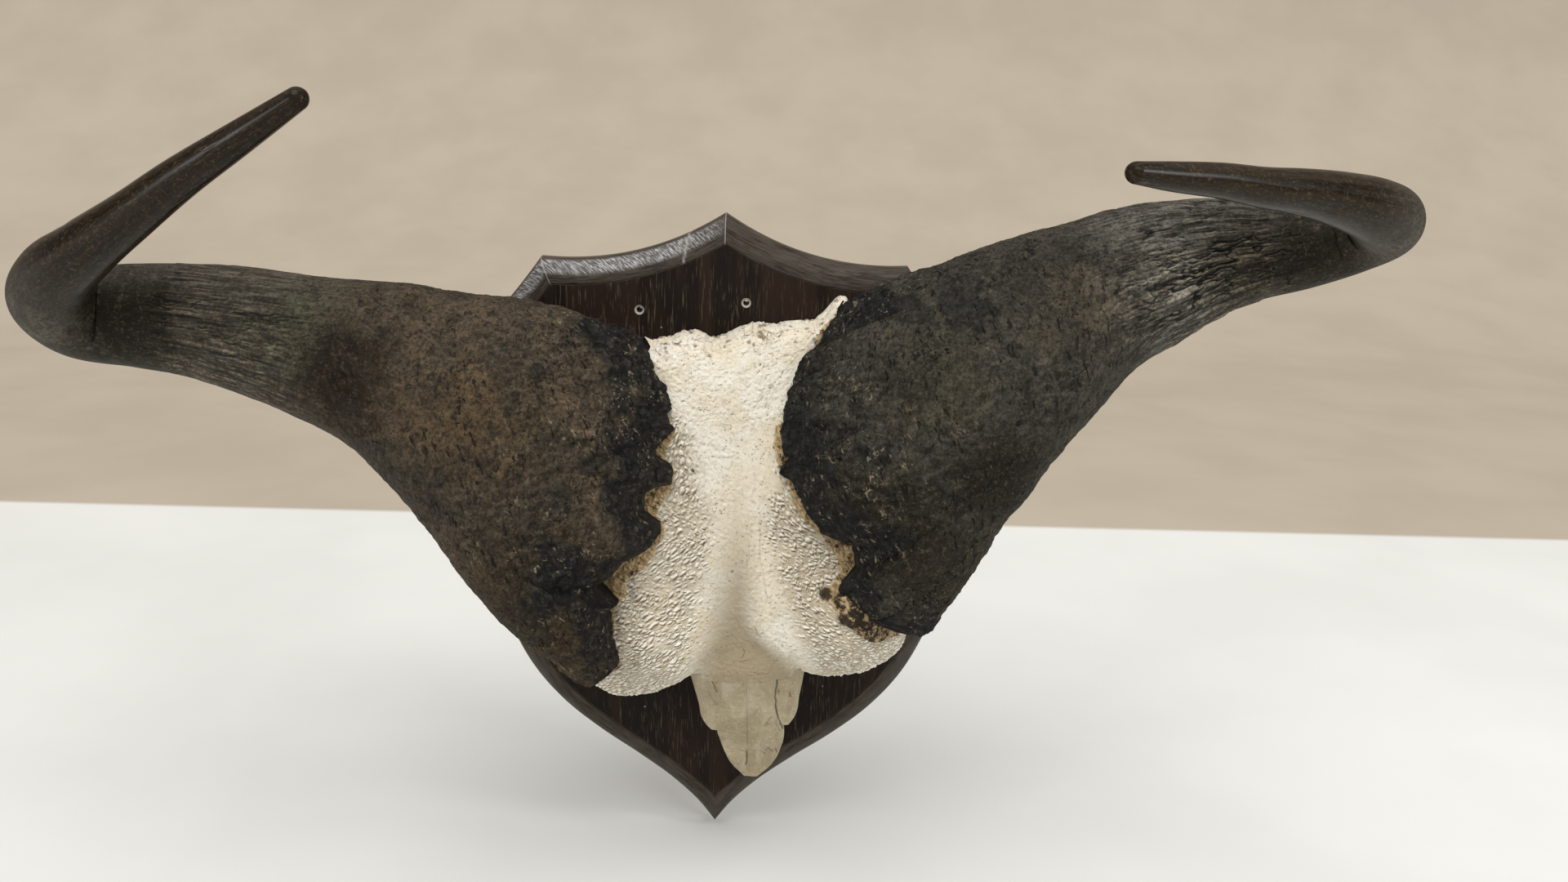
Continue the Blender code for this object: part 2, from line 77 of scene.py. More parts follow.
COUNTERSINK_RADIUS = 0.0036
# Radius of the pale ring painted round each hole
HOLE_RING_RADIUS = 0.0031
SCREW_HOLE_SIDES = 48

# Horns: core point x, y, z, half height, half depth, lean in degrees, bulge to the midline
LEFT_HORN = [
    (-0.050, -0.086, 0.050, 0.127, 0.014, 83, 0.036),
    (-0.074, -0.090, 0.048, 0.137, 0.018, 83, 0.036),
    (-0.088, -0.101, 0.051, 0.142, 0.026, 85, 0.032),
    (-0.120, -0.112, 0.071, 0.136, 0.048, 88, 0.018),
    (-0.159, -0.112, 0.093, 0.124, 0.057, 89, 0.008),
    (-0.205, -0.105, 0.125, 0.093, 0.055, 87, 0.0),
    (-0.254, -0.098, 0.157, 0.067, 0.051, 86, 0.0),
    (-0.300, -0.091, 0.170, 0.055, 0.048, 86, 0.0),
    (-0.345, -0.084, 0.180, 0.049, 0.045, 87, 0.0),
    (-0.393, -0.078, 0.187, 0.044, 0.041, 87, 0.0),
    (-0.443, -0.076, 0.190, 0.040, 0.038, 88, 0.0),
    (-0.479, -0.090, 0.194, 0.035, 0.035, 90, 0.0),
    (-0.484, -0.114, 0.207, 0.030, 0.030, 90, 0.0),
    (-0.466, -0.140, 0.228, 0.0255, 0.0255, 90, 0.0),
    (-0.431, -0.163, 0.250, 0.0208, 0.0208, 90, 0.0),
    (-0.385, -0.187, 0.277, 0.0165, 0.0165, 90, 0.0),
    (-0.344, -0.206, 0.302, 0.0138, 0.0138, 90, 0.0),
    (-0.294, -0.227, 0.330, 0.0106, 0.0106, 90, 0.0),
    (-0.252, -0.243, 0.354, 0.0076, 0.0076, 90, 0.0),
]
RIGHT_HORN = [
    (0.098, -0.086, 0.080, 0.121, 0.014, 105, 0.062),
    (0.119, -0.090, 0.080, 0.133, 0.018, 105, 0.062),
    (0.132, -0.101, 0.090, 0.135, 0.026, 104, 0.052),
    (0.156, -0.112, 0.115, 0.127, 0.048, 102, 0.030),
    (0.188, -0.112, 0.149, 0.106, 0.057, 103, 0.012),
    (0.223, -0.105, 0.182, 0.087, 0.055, 106, 0.0),
    (0.255, -0.098, 0.206, 0.073, 0.052, 106, 0.0),
    (0.287, -0.091, 0.227, 0.061, 0.049, 105, 0.0),
    (0.324, -0.084, 0.243, 0.055, 0.046, 103, 0.0),
    (0.360, -0.078, 0.255, 0.047, 0.042, 102, 0.0),
    (0.400, -0.074, 0.263, 0.039, 0.038, 100, 0.0),
    (0.440, -0.078, 0.270, 0.034, 0.034, 95, 0.0),
    (0.470, -0.092, 0.281, 0.0305, 0.0305, 90, 0.0),
    (0.479, -0.118, 0.291, 0.0270, 0.0270, 90, 0.0),
    (0.460, -0.143, 0.300, 0.0235, 0.0235, 90, 0.0),
    (0.423, -0.169, 0.309, 0.0193, 0.0193, 90, 0.0),
    (0.384, -0.193, 0.315, 0.0156, 0.0156, 90, 0.0),
    (0.350, -0.213, 0.318, 0.0134, 0.0134, 90, 0.0),
    (0.318, -0.231, 0.322, 0.0117, 0.0117, 90, 0.0),
    (0.275, -0.255, 0.325, 0.0093, 0.0093, 90, 0.0),
    (0.251, -0.269, 0.327, 0.0072, 0.0072, 90, 0.0),
]
BOSS_SQUARENESS = 2.3
BOSS_PITCH = 0.14
HORN_TABLE = 900
HORN_ROWS = round(480 * DETAIL)
HORN_COLUMNS = 2 * round(188 * DETAIL)
FRONT_DENSITY = 0.35
# How strongly the rows crowd towards the sheath's edge
ROW_CROWDING = 1.22
# Share of the horn that its boss can take up, and of the ring over which its edge is evened out
BOSS_SHARE = 0.45
EDGE_EVENNESS = 0.04
# Radius of the straightened horn, in which fibres run along one axis
STRAIGHT_RADIUS = 0.045
# Length of the round tip, as a share of its radius
TIP_LENGTH = 0.95
TIP_ROWS = 14
WALL_ROWS = 14
WALL_PLANE = -0.060
# Share of the horn's rows over which the fold inside its tight bend is rounded
FOLD_REACH = 0.030
# Width of the band in which the sheath thins out to its edge
EDGE_TAPER = 0.030
# Painted light and shade: relief facets turned this way are painted lighter, those turned away darker
PAINTED_LIGHT_WAY = np.array([-0.30, -0.30, 0.90])
# Distance of the sheath's edge from the wall, z and depth
LEFT_EDGE_DEPTH = [(-0.10, 0.106), (-0.05, 0.119), (0.00, 0.116), (0.05, 0.115), (0.10, 0.108),
                   (0.14, 0.099), (0.165, 0.091), (0.19, 0.083), (0.21, 0.078)]
RIGHT_EDGE_DEPTH = [(-0.06, 0.112), (-0.03, 0.128), (0.00, 0.123), (0.03, 0.117), (0.06, 0.113),
                    (0.10, 0.107), (0.14, 0.101), (0.17, 0.093), (0.20, 0.088), (0.215, 0.083)]

# Ragged edge of each horn sheath where it ends on the bone, x and z from top to bottom
LEFT_SHEATH_EDGE = [
    (-0.1000, 0.2800), (-0.0717, 0.1947), (-0.0621, 0.1869), (-0.0559, 0.1751), (-0.0532, 0.1672),
    (-0.0499, 0.1594), (-0.0461, 0.1531), (-0.0423, 0.1496), (-0.0401, 0.1447), (-0.0374, 0.1378),
    (-0.0372, 0.1317), (-0.0397, 0.1292), (-0.0370, 0.1236), (-0.0342, 0.1176), (-0.0368, 0.1145),
    (-0.0413, 0.1114), (-0.0450, 0.1072), (-0.0463, 0.1021), (-0.0466, 0.0969), (-0.0410, 0.0950),
    (-0.0364, 0.0926), (-0.0336, 0.0879), (-0.0335, 0.0816), (-0.0348, 0.0764), (-0.0406, 0.0752),
    (-0.0479, 0.0740), (-0.0541, 0.0707), (-0.0555, 0.0654), (-0.0550, 0.0591), (-0.0570, 0.0549),
    (-0.0517, 0.0518), (-0.0454, 0.0499), (-0.0423, 0.0445), (-0.0433, 0.0379), (-0.0474, 0.0333),
    (-0.0506, 0.0277), (-0.0568, 0.0231), (-0.0631, 0.0196), (-0.0694, 0.0168), (-0.0726, 0.0127),
    (-0.0779, 0.0070), (-0.0842, 0.0024), (-0.0906, -0.0022), (-0.0916, -0.0051), (-0.0821, -0.0058),
    (-0.0726, -0.0069), (-0.0694, -0.0106), (-0.0715, -0.0151), (-0.0778, -0.0197), (-0.0831, -0.0242),
    (-0.0810, -0.0287), (-0.0799, -0.0365), (-0.0810, -0.0432), (-0.0778, -0.0512), (-0.0764, -0.0602),
    (-0.0750, -0.0666), (-0.0785, -0.0746), (-0.0830, -0.0813), (-0.0886, -0.0868), (-0.1006, -0.0884),
    (-0.1300, -0.1600),
]
RIGHT_SHEATH_EDGE = [
    (0.1080, 0.2900), (0.0930, 0.2167), (0.0906, 0.2085), (0.0873, 0.2046), (0.0830, 0.1998),
    (0.0788, 0.1932), (0.0757, 0.1854), (0.0692, 0.1798), (0.0638, 0.1742), (0.0584, 0.1664),
    (0.0564, 0.1599), (0.0555, 0.1534), (0.0519, 0.1447), (0.0503, 0.1371), (0.0494, 0.1293),
    (0.0481, 0.1227), (0.0469, 0.1171), (0.0484, 0.1116), (0.0490, 0.1049), (0.0509, 0.1005),
    (0.0556, 0.0988), (0.0500, 0.0960), (0.0466, 0.0942), (0.0484, 0.0893), (0.0474, 0.0857),
    (0.0523, 0.0840), (0.0566, 0.0820), (0.0576, 0.0795), (0.0600, 0.0739), (0.0635, 0.0695),
    (0.0660, 0.0628), (0.0695, 0.0573), (0.0741, 0.0529), (0.0777, 0.0484), (0.0812, 0.0428),
    (0.0870, 0.0396), (0.0938, 0.0375), (0.1007, 0.0354), (0.1064, 0.0343), (0.1054, 0.0287),
    (0.1079, 0.0220), (0.1104, 0.0154), (0.1059, 0.0119), (0.1004, 0.0095), (0.0971, 0.0039),
    (0.0963, -0.0040), (0.0972, -0.0108), (0.0967, -0.0177), (0.1025, -0.0221), (0.1094, -0.0242),
    (0.1163, -0.0275), (0.1244, -0.0296), (0.1327, -0.0339), (0.1421, -0.0361), (0.1604, -0.0372),
    (0.1900, -0.1200),
]

# Where the tan, frayed horn beside each sheath gives way to bare bone, z and x
LEFT_BARE_BONE = [
    (-0.1600, -0.1300), (-0.0900, -0.0900), (-0.0798, -0.0771), (-0.0705, -0.0735), (-0.0627, -0.0744),
    (-0.0549, -0.0763), (-0.0476, -0.0788), (-0.0408, -0.0779), (-0.0340, -0.0784), (-0.0274, -0.0810),
    (-0.0228, -0.0763), (-0.0136, -0.0678), (-0.0048, -0.0710), (-0.0002, -0.0657), (0.0045, -0.0594),
    (0.0114, -0.0530), (0.0205, -0.0467), (0.0272, -0.0457), (0.0340, -0.0405), (0.0406, -0.0395),
    (0.0514, -0.0465), (0.0578, -0.0445), (0.0642, -0.0408), (0.0750, -0.0326), (0.0865, -0.0339),
    (0.0936, -0.0413), (0.1009, -0.0404), (0.1061, -0.0370), (0.1144, -0.0334), (0.1224, -0.0374),
    (0.1300, -0.0450), (0.2800, -0.1300),
]
RIGHT_BARE_BONE = [
    (-0.1200, 0.1900), (-0.0550, 0.1600), (-0.0520, 0.1349), (-0.0497, 0.1255), (-0.0404, 0.1154),
    (-0.0312, 0.1055), (-0.0242, 0.0961), (-0.0152, 0.0924), (-0.0119, 0.0854), (-0.0039, 0.0840),
    (0.0008, 0.0918), (0.0099, 0.0961), (0.0211, 0.0935), (0.0299, 0.0887), (0.0389, 0.0804),
    (0.0466, 0.0711), (0.0544, 0.0630), (0.0612, 0.0605), (0.0723, 0.0557), (0.0813, 0.0531),
    (0.0901, 0.0461), (0.0990, 0.0448), (0.1079, 0.0423), (0.1213, 0.0441), (0.1300, 0.0560),
    (0.1760, 0.0750), (0.1833, 0.0726), (0.1900, 0.0735), (0.1989, 0.0811), (0.2100, 0.0960),
    (0.2900, 0.1300),
]

# Soft hollows and swellings on the front of each horn: x, z, half width, half height, rise
LEFT_SPOTS = [
    (-0.266, 0.160, 0.026, 0.044, -0.0045),
    (-0.170, 0.150, 0.040, 0.030, 0.0020),
    (-0.130, 0.060, 0.030, 0.020, -0.0015),
]
RIGHT_SPOTS = [
    (0.200, 0.108, 0.028, 0.036, -0.0040),
    (0.194, 0.227, 0.0055, 0.0055, 0.0024),
    (0.183, 0.232, 0.004, 0.008, -0.0016),
    (0.150, 0.185, 0.040, 0.030, 0.0020),
]
# Raised flakes of horn: x, z, half width, half height, rise
RIGHT_FLAKES = [(0.172, 0.228, 0.020, 0.017, 0.0011), (0.130, 0.221, 0.026, 0.010, 0.0009)]
LEFT_FLAKES = [(-0.080, 0.105, 0.020, 0.012, 0.0009), (-0.105, 0.020, 0.024, 0.014, 0.0008)]

# Frontal bone: outline x, z and the share of the depth kept at the edge
BONE_BACK = -SHIELD_DEPTH - 0.0003
FRONTAL_OUTLINE = [
    (-0.066, 0.175, 0.85),
    (-0.046, 0.176, 0.85),
    (-0.025, 0.183, 0.85),
    (-0.009, 0.178, 0.85),
    (0.006, 0.182, 0.85),
    (0.020, 0.189, 0.85),
    (0.050, 0.191, 0.85),
    (0.076, 0.196, 0.85),
    (0.094, 0.213, 0.70),
    (0.118, 0.190, 0.35),
    (0.146, 0.135, 0.30),
    (0.162, 0.070, 0.30),
    (0.166, 0.010, 0.25),
    (0.164, -0.045, 0.20),
    (0.156, -0.081, 0.15),
    (0.129, -0.100, 0.12),
    (0.097, -0.104, 0.12),
    (0.0735, -0.0940, 0.50),
    (0.026, -0.0960, 0.90),
    (-0.0215, -0.1010, 0.50),
    (-0.034, -0.109, 0.20),
    (-0.060, -0.125, 0.12),
    (-0.094, -0.129, 0.12),
    (-0.116, -0.108, 0.15),
    (-0.120, -0.040, 0.20),
    (-0.124, 0.020, 0.25),
    (-0.116, 0.090, 0.30),
    (-0.094, 0.145, 0.35),
]
FRONTAL_SPINE = [(0.014, 0.120), (0.028, -0.030)]
FRONTAL_PROFILE = [(-0.100, 0.096), (-0.020, 0.108), (0.050, 0.106), (0.120, 0.094), (0.200, 0.074)]
BROW_LOBES = [(-0.062, -0.060, 0.020), (0.108, -0.040, 0.020)]
BROW_LOBE_RADIUS = 0.038
FLAT_SHARE = 0.45
FRONTAL_ROWS = round(170 * DETAIL)
HIDDEN_ROWS = round(24 * DETAIL)
FRONTAL_COLUMNS = round(1450 * DETAIL)
BONE_WALL_ROWS = round(40 * DETAIL)

# Smooth hollow between the brow lobes: z with its left side, right side and depth
HOLLOW_LEFT = [(-0.100, -0.016), (-0.079, -0.013), (-0.060, -0.010), (-0.040, -0.006),
               (-0.017, -0.002), (0.006, 0.002), (0.035, 0.008), (0.070, 0.014)]
HOLLOW_RIGHT = [(-0.100, 0.078), (-0.084, 0.070), (-0.072, 0.060), (-0.062, 0.049), (-0.052, 0.040),
                (-0.042, 0.035), (-0.020, 0.033), (0.006, 0.032), (0.035, 0.029), (0.070, 0.024)]
HOLLOW_DEPTH = [(-0.100, 0.0070), (-0.070, 0.0062), (-0.040, 0.0046), (0.000, 0.0028),
                (0.035, 0.0011), (0.070, 0.0)]
# How strongly the hollow is painted darker beige, by z: partly the bone's own stain, partly painted shade
# deepening the hollow
HOLLOW_STAIN_AND_SHADE = [(-0.100, 1.0), (-0.010, 0.85), (0.040, 0.45), (0.085, 0.0)]
LOBE_FOOT = [(0.0326, -0.0300), (0.0343, -0.0422), (0.0400, -0.0519), (0.0490, -0.0617),
             (0.0602, -0.0724), (0.0697, -0.0840)]
# Inner borders of the pebbled banks on either side of the smooth middle, z and x
LEFT_BANK = [(-0.110, -0.028), (-0.074, -0.0226), (-0.048, -0.0204), (-0.026, -0.0164),
             (-0.003, -0.0082), (0.026, -0.0066), (0.050, -0.0040), (0.075, -0.0170),
             (0.092, -0.0180), (0.113, -0.0240), (0.131, -0.0350), (0.165, -0.0600)]
RIGHT_BANK = [(-0.110, 0.090), (-0.060, 0.077), (-0.041, 0.0676), (-0.023, 0.0606), (-0.001, 0.0514),
              (0.021, 0.0486), (0.042, 0.0374), (0.060, 0.0391), (0.077, 0.0470), (0.093, 0.0466),
              (0.122, 0.0430), (0.165, 0.0700)]
# Cracks in the bone: points x, z, then half width and darkness
BONE_CRACKS = [
    ([(0.0339, 0.0553), (0.0338, 0.0205), (0.0363, 0.0072), (0.0387, -0.0041), (0.0413, -0.0201)],
     0.0008, 0.22),
    ([(0.0250, 0.0334), (0.0253, 0.0203), (0.0236, 0.0022)], 0.0008, 0.18),
    ([(0.0229, -0.0650), (0.0240, -0.0680), (0.0232, -0.0705), (0.0226, -0.0722)], 0.0008, 0.55),
    ([(0.0143, -0.0775), (0.0178, -0.0752), (0.0212, -0.0762), (0.0268, -0.0741)], 0.0006, 0.30),
    ([(0.0318, -0.0420), (0.0334, -0.0472), (0.0360, -0.0510)], 0.0009, 0.5),
]
# Pits in the bone: x, z, radius and darkness
BONE_PITS = [
    (0.0211, 0.1828, 0.0018, 0.6),
    (0.0250, 0.1812, 0.0012, 0.6),
    (0.0567, 0.1840, 0.0014, 0.5),
    (0.0720, 0.1850, 0.0022, 0.6),
    (-0.0202, 0.1795, 0.0015, 0.5),
    (-0.0193, 0.0855, 0.0016, 0.9),
    (-0.0098, 0.0291, 0.0010, 1.0),
    (0.0129, 0.0054, 0.0012, 0.5),
    (0.0109, -0.0026, 0.0010, 0.5),
    (0.0866, -0.0080, 0.0052, 1.2),
    (0.1010, -0.0260, 0.0046, 1.2),
    (0.0870, 0.0330, 0.0018, 0.8),
    (0.0620, 0.0560, 0.0011, 0.8),
]

# Nasal bones
NASAL_ROOT = ((-0.0205, -0.0925), (0.0740, -0.0845))
NASAL_TIP_Z = -0.199
NASAL_ROOT_FRONT = 0.0945
NASAL_TIP_FRONT = 0.062
NASAL_THICKNESS = 0.007
NASAL_ARCH = 0.010
NASAL_ROWS = round(180 * DETAIL)
NASAL_COLUMNS = round(44 * DETAIL)
NASAL_SEED = 51
# Heights over which the upper jaw strip beside each nasal bone comes to its end
LEFT_STRIP_END = (-0.157, -0.149)
RIGHT_STRIP_END = (-0.151, -0.144)
NASAL_EDGE_RADIUS = 0.0018
SEAMS = {
    "outer_left": [(-0.0205, -0.0925), (-0.0135, -0.122), (-0.0085, -0.143), (0.0005, -0.153)],
    "left": [
        (-0.003, -0.091),
        (0.002, -0.122),
        (0.003, -0.153),
        (0.0085, -0.172),
        (0.0165, -0.188),
        (0.026, -0.199),
    ],
    "middle": [(0.026, -0.088), (0.027, -0.130), (0.029, -0.170), (0.031, -0.199)],
    "right": [
        (0.054, -0.086),
        (0.048, -0.108),
        (0.052, -0.130),
        (0.0585, -0.147),
        (0.0565, -0.169),
        (0.0495, -0.186),
        (0.037, -0.199),
    ],
    "outer_right": [(0.0740, -0.0845), (0.0705, -0.112), (0.0665, -0.137), (0.0600, -0.147)],
}


# Curves and grids


def smooth_curve(knots, values, places):
    """Reads, at the places given, the smooth curve that passes through values at knots."""
    knots = np.asarray(knots, float)
    values = np.asarray(values, float)
    slopes = np.gradient(values, knots, axis=0)
    span = np.clip(np.searchsorted(knots, places, side="right") - 1, 0, len(knots) - 2)
    width = (knots[span + 1] - knots[span])[:, None]
    part = (np.asarray(places) - knots[span])[:, None] / width
    start, end = values[span], values[span + 1]
    lead_out, lead_in = slopes[span] * width, slopes[span + 1] * width
    return (
        start * (2 * part**3 - 3 * part**2 + 1)
        + lead_out * (part**3 - 2 * part**2 + part)
        + end * (3 * part**2 - 2 * part**3)
        + lead_in * (part**3 - part**2)
    )


def run_lengths(points):
    """Distance from the first point to each point, along the straight runs between them."""
    steps = np.linalg.norm(np.diff(np.asarray(points, float), axis=0), axis=1)
    return np.concatenate([[0.0], np.cumsum(steps)])


def by_height(table, z):
    """Reads the second column of a table whose first column is a rising height."""
    rows = np.array(table)
    return np.interp(z, rows[:, 0], rows[:, 1])


def edge_x(edge, z):
    """Where a sheath edge lies at a height."""
    rows = np.array(edge[::-1])
    return np.interp(z, rows[:, 1], rows[:, 0])


def smooth_step(value, low, high):
    """0 at low, 1 at high and a soft curve between them."""
    share = np.clip((value - low) / (high - low), 0.0, 1.0)
    return share * share * (3 - 2 * share)


def circular_mean(values, reach):
    """Average of each value and its neighbours round a closed ring."""
    weights = np.hanning(2 * reach + 3)[1:-1]
    padded = np.concatenate([values[-reach:], values, values[:reach]])
    return np.convolve(padded, weights / weights.sum(), mode="valid")


def spots(x, z, places):
    """Sum of soft round rises or hollows, each x, z, half width, half height and rise."""
    height = np.zeros(np.shape(x))
    for spot_x, spot_z, across, up, rise in places:
        away = ((x - spot_x) / across) ** 2 + ((z - spot_z) / up) ** 2
        height += rise * np.exp(-away)
    return height


def grid_normals(points):
    """Unit normals of a grid of points whose rows are closed rings."""
    down = np.gradient(points, axis=0)
    across = (np.roll(points, -1, axis=1) - np.roll(points, 1, axis=1)) / 2
    normals = np.cross(down, across)
    length = np.linalg.norm(normals, axis=2)[:, :, None]
    return normals / np.maximum(length, 1e-12)


# Noise


# How far apart the noises of neighbouring seeds lie
SEED_STEP = 7.31


def wander(points, size, seed, octaves=3):
    """Smooth noise, mostly within -0.6 to 0.6, with features of the given size."""
    places = points.reshape(-1, 3) / size + seed * SEED_STEP
    values = [noise.fractal(place, 1.0, 2.0, octaves) for place in places.tolist()]
    return np.array(values).reshape(points.shape[:-1])


def cell_distances(points, size, seed):
    """Distances to the nearest and the second nearest of scattered cell centres."""
    places = points.reshape(-1, 3) / size + seed * SEED_STEP
    pairs = np.array([noise.voronoi(place)[0][:2] for place in places.tolist()])
    return pairs[:, 0].reshape(points.shape[:-1]), pairs[:, 1].reshape(points.shape[:-1])


def plate_steps(points, size, seed):
    """Flat plates of different heights, -1 to 1, with sharp steps between them."""
    places = points.reshape(-1, 3) / size + seed * SEED_STEP
    centres = np.array([noise.voronoi(place)[1][0] for place in places.tolist()])
    steps = np.sin(centres @ np.array([12.99, 78.23, 37.72]))
    return steps.reshape(points.shape[:-1])


def crack_lines(points, size, seed, width):
    """1 on thin wandering lines, falling to 0 at the width given as a share of the size."""
    return np.clip(1 - np.abs(wander(points, size, seed, 3)) / width, 0.0, 1.0)


def groove(x, z, line, width):
    """1 on a line drawn over the front, falling to 0 at the width."""
    nearest = np.full(np.shape(x), np.inf)
    for (ax, az), (bx, bz) in zip(line, line[1:]):
        dx, dz = bx - ax, bz - az
        share = np.clip(((x - ax) * dx + (z - az) * dz) / (dx * dx + dz * dz), 0.0, 1.0)
        nearest = np.minimum(nearest, np.hypot(x - ax - share * dx, z - az - share * dz))
    return np.clip(1 - nearest / width, 0.0, 1.0)


# Meshes


def grid_faces(rows, columns):
    """Corner numbers of the quads of a grid whose rows are closed rings."""
    row, column = np.meshgrid(np.arange(rows - 1), np.arange(columns), indexing="ij")
    beside = (column + 1) % columns
    corners = (row * columns + column, row * columns + beside)
    below = ((row + 1) * columns + beside, (row + 1) * columns + column)
    return np.stack([*corners, *below], axis=-1).reshape(-1, 4).tolist()


def add_piece(name, points, faces, attributes, material, nodes):
    """Makes one smooth mesh piece that rides on the part and stands for the nodes given."""
    mesh = bpy.data.meshes.new(name)
    mesh.from_pydata(points.tolist(), [], faces)
    for label, values in attributes.items():
        kind = "FLOAT_VECTOR" if values.ndim == 2 else "FLOAT"
        layer = mesh.attributes.new(label, kind, "POINT")
        field = "vector" if values.ndim == 2 else "value"
        layer.data.foreach_set(field, np.ascontiguousarray(values, dtype=np.float32).ravel())
    face_outwards(mesh)
    mesh.shade_smooth()
    mesh.materials.append(material)
    piece = bpy.data.objects.new(name, mesh)
    bpy.context.scene.collection.objects.link(piece)
    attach(piece, "root")
    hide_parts(*nodes)
    return piece


def face_outwards(mesh):
    """Turns every face of a closed mesh to the outside."""
    shape = bmesh.new()
    shape.from_mesh(mesh)
    bmesh.ops.recalc_face_normals(shape, faces=shape.faces)
    shape.to_mesh(mesh)
    shape.free()


# Materials


class Look:
    """A material's node tree, built from short calls that return sockets."""

    def __init__(self, name, roughness):
        self.material = bpy.data.materials.new(name)
        self.material.use_nodes = True
        self.tree = self.material.node_tree
        self.shader = self.tree.nodes["Principled BSDF"]
        self.shader.inputs["Roughness"].default_value = roughness
        self.place = self.tree.nodes.new("ShaderNodeTexCoord").outputs["Object"]

    def set(self, socket, value):
        """Links a socket to another, or sets it to a number or a colour."""
        if isinstance(value, bpy.types.NodeSocket):
            self.tree.links.new(value, socket)
        elif isinstance(value, tuple) and len(value) == 3 and socket.type == "RGBA":
            socket.default_value = (*value, 1.0)
        else:
            socket.default_value = value

    def attribute(self, name, output="Fac"):
        node = self.tree.nodes.new("ShaderNodeAttribute")
        node.attribute_name = name
        return node.outputs[output]

    def stretched(self, vector, scale, turn=(0.0, 0.0, 0.0)):
        """Places turned, then scaled along each axis."""
        for label, value in (("Rotation", turn), ("Scale", scale)):
            node = self.tree.nodes.new("ShaderNodeMapping")
            self.set(node.inputs["Vector"], vector)
            node.inputs[label].default_value = value
            vector = node.outputs["Vector"]
        return vector

    def noise(self, vector, scale, detail=4.0, roughness=0.55, distortion=0.0):
        node = self.tree.nodes.new("ShaderNodeTexNoise")
        self.set(node.inputs["Vector"], vector)
        node.inputs["Scale"].default_value = scale
        node.inputs["Detail"].default_value = detail
        node.inputs["Roughness"].default_value = roughness
        node.inputs["Distortion"].default_value = distortion
        return node.outputs["Fac"]

    def cells(self, vector, scale):
        """Distance to the nearest of scattered points."""
        node = self.tree.nodes.new("ShaderNodeTexVoronoi")
        self.set(node.inputs["Vector"], vector)
        node.inputs["Scale"].default_value = scale
        return node.outputs["Distance"]

    def math(self, operation, first, second=0.0):
        node = self.tree.nodes.new("ShaderNodeMath")
        node.operation = operation
        self.set(node.inputs[0], first)
        self.set(node.inputs[1], second)
        return node.outputs["Value"]

    def times(self, first, second):
        return self.math("MULTIPLY", first, second)

    def distance(self, vector, centre):
        node = self.tree.nodes.new("ShaderNodeVectorMath")
        node.operation = "DISTANCE"
        self.set(node.inputs[0], vector)
        node.inputs[1].default_value = centre
        return node.outputs["Value"]

    def ramp(self, value, low, high, to_low=0.0, to_high=1.0):
        """Maps low..high smoothly to to_low..to_high."""
        node = self.tree.nodes.new("ShaderNodeMapRange")
        node.interpolation_type = "SMOOTHSTEP"
        self.set(node.inputs["Value"], value)
        for label, number in (
            ("From Min", low),
            ("From Max", high),
            ("To Min", to_low),
            ("To Max", to_high),
        ):
            self.set(node.inputs[label], number)
        return node.outputs["Result"]

    def mix(self, share, first, second, blend="MIX"):
        node = self.tree.nodes.new("ShaderNodeMix")
        node.data_type = "RGBA"
        node.blend_type = blend
        self.set(node.inputs["Factor"], share)
        self.set(node.inputs[6], first)
        self.set(node.inputs[7], second)
        return node.outputs[2]

    def bump(self, height, distance, strength=1.0, normal=None):
        node = self.tree.nodes.new("ShaderNodeBump")
        node.inputs["Strength"].default_value = strength
        node.inputs["Distance"].default_value = distance
        self.set(node.inputs["Height"], height)
        if normal is not None:
            self.set(node.inputs["Normal"], normal)
        return node.outputs["Normal"]

    def finish(self, colour, roughness, normal):
        self.set(self.shader.inputs["Base Color"], colour)
        self.set(self.shader.inputs["Roughness"], roughness)
        self.set(self.shader.inputs["Normal"], normal)
        return self.material


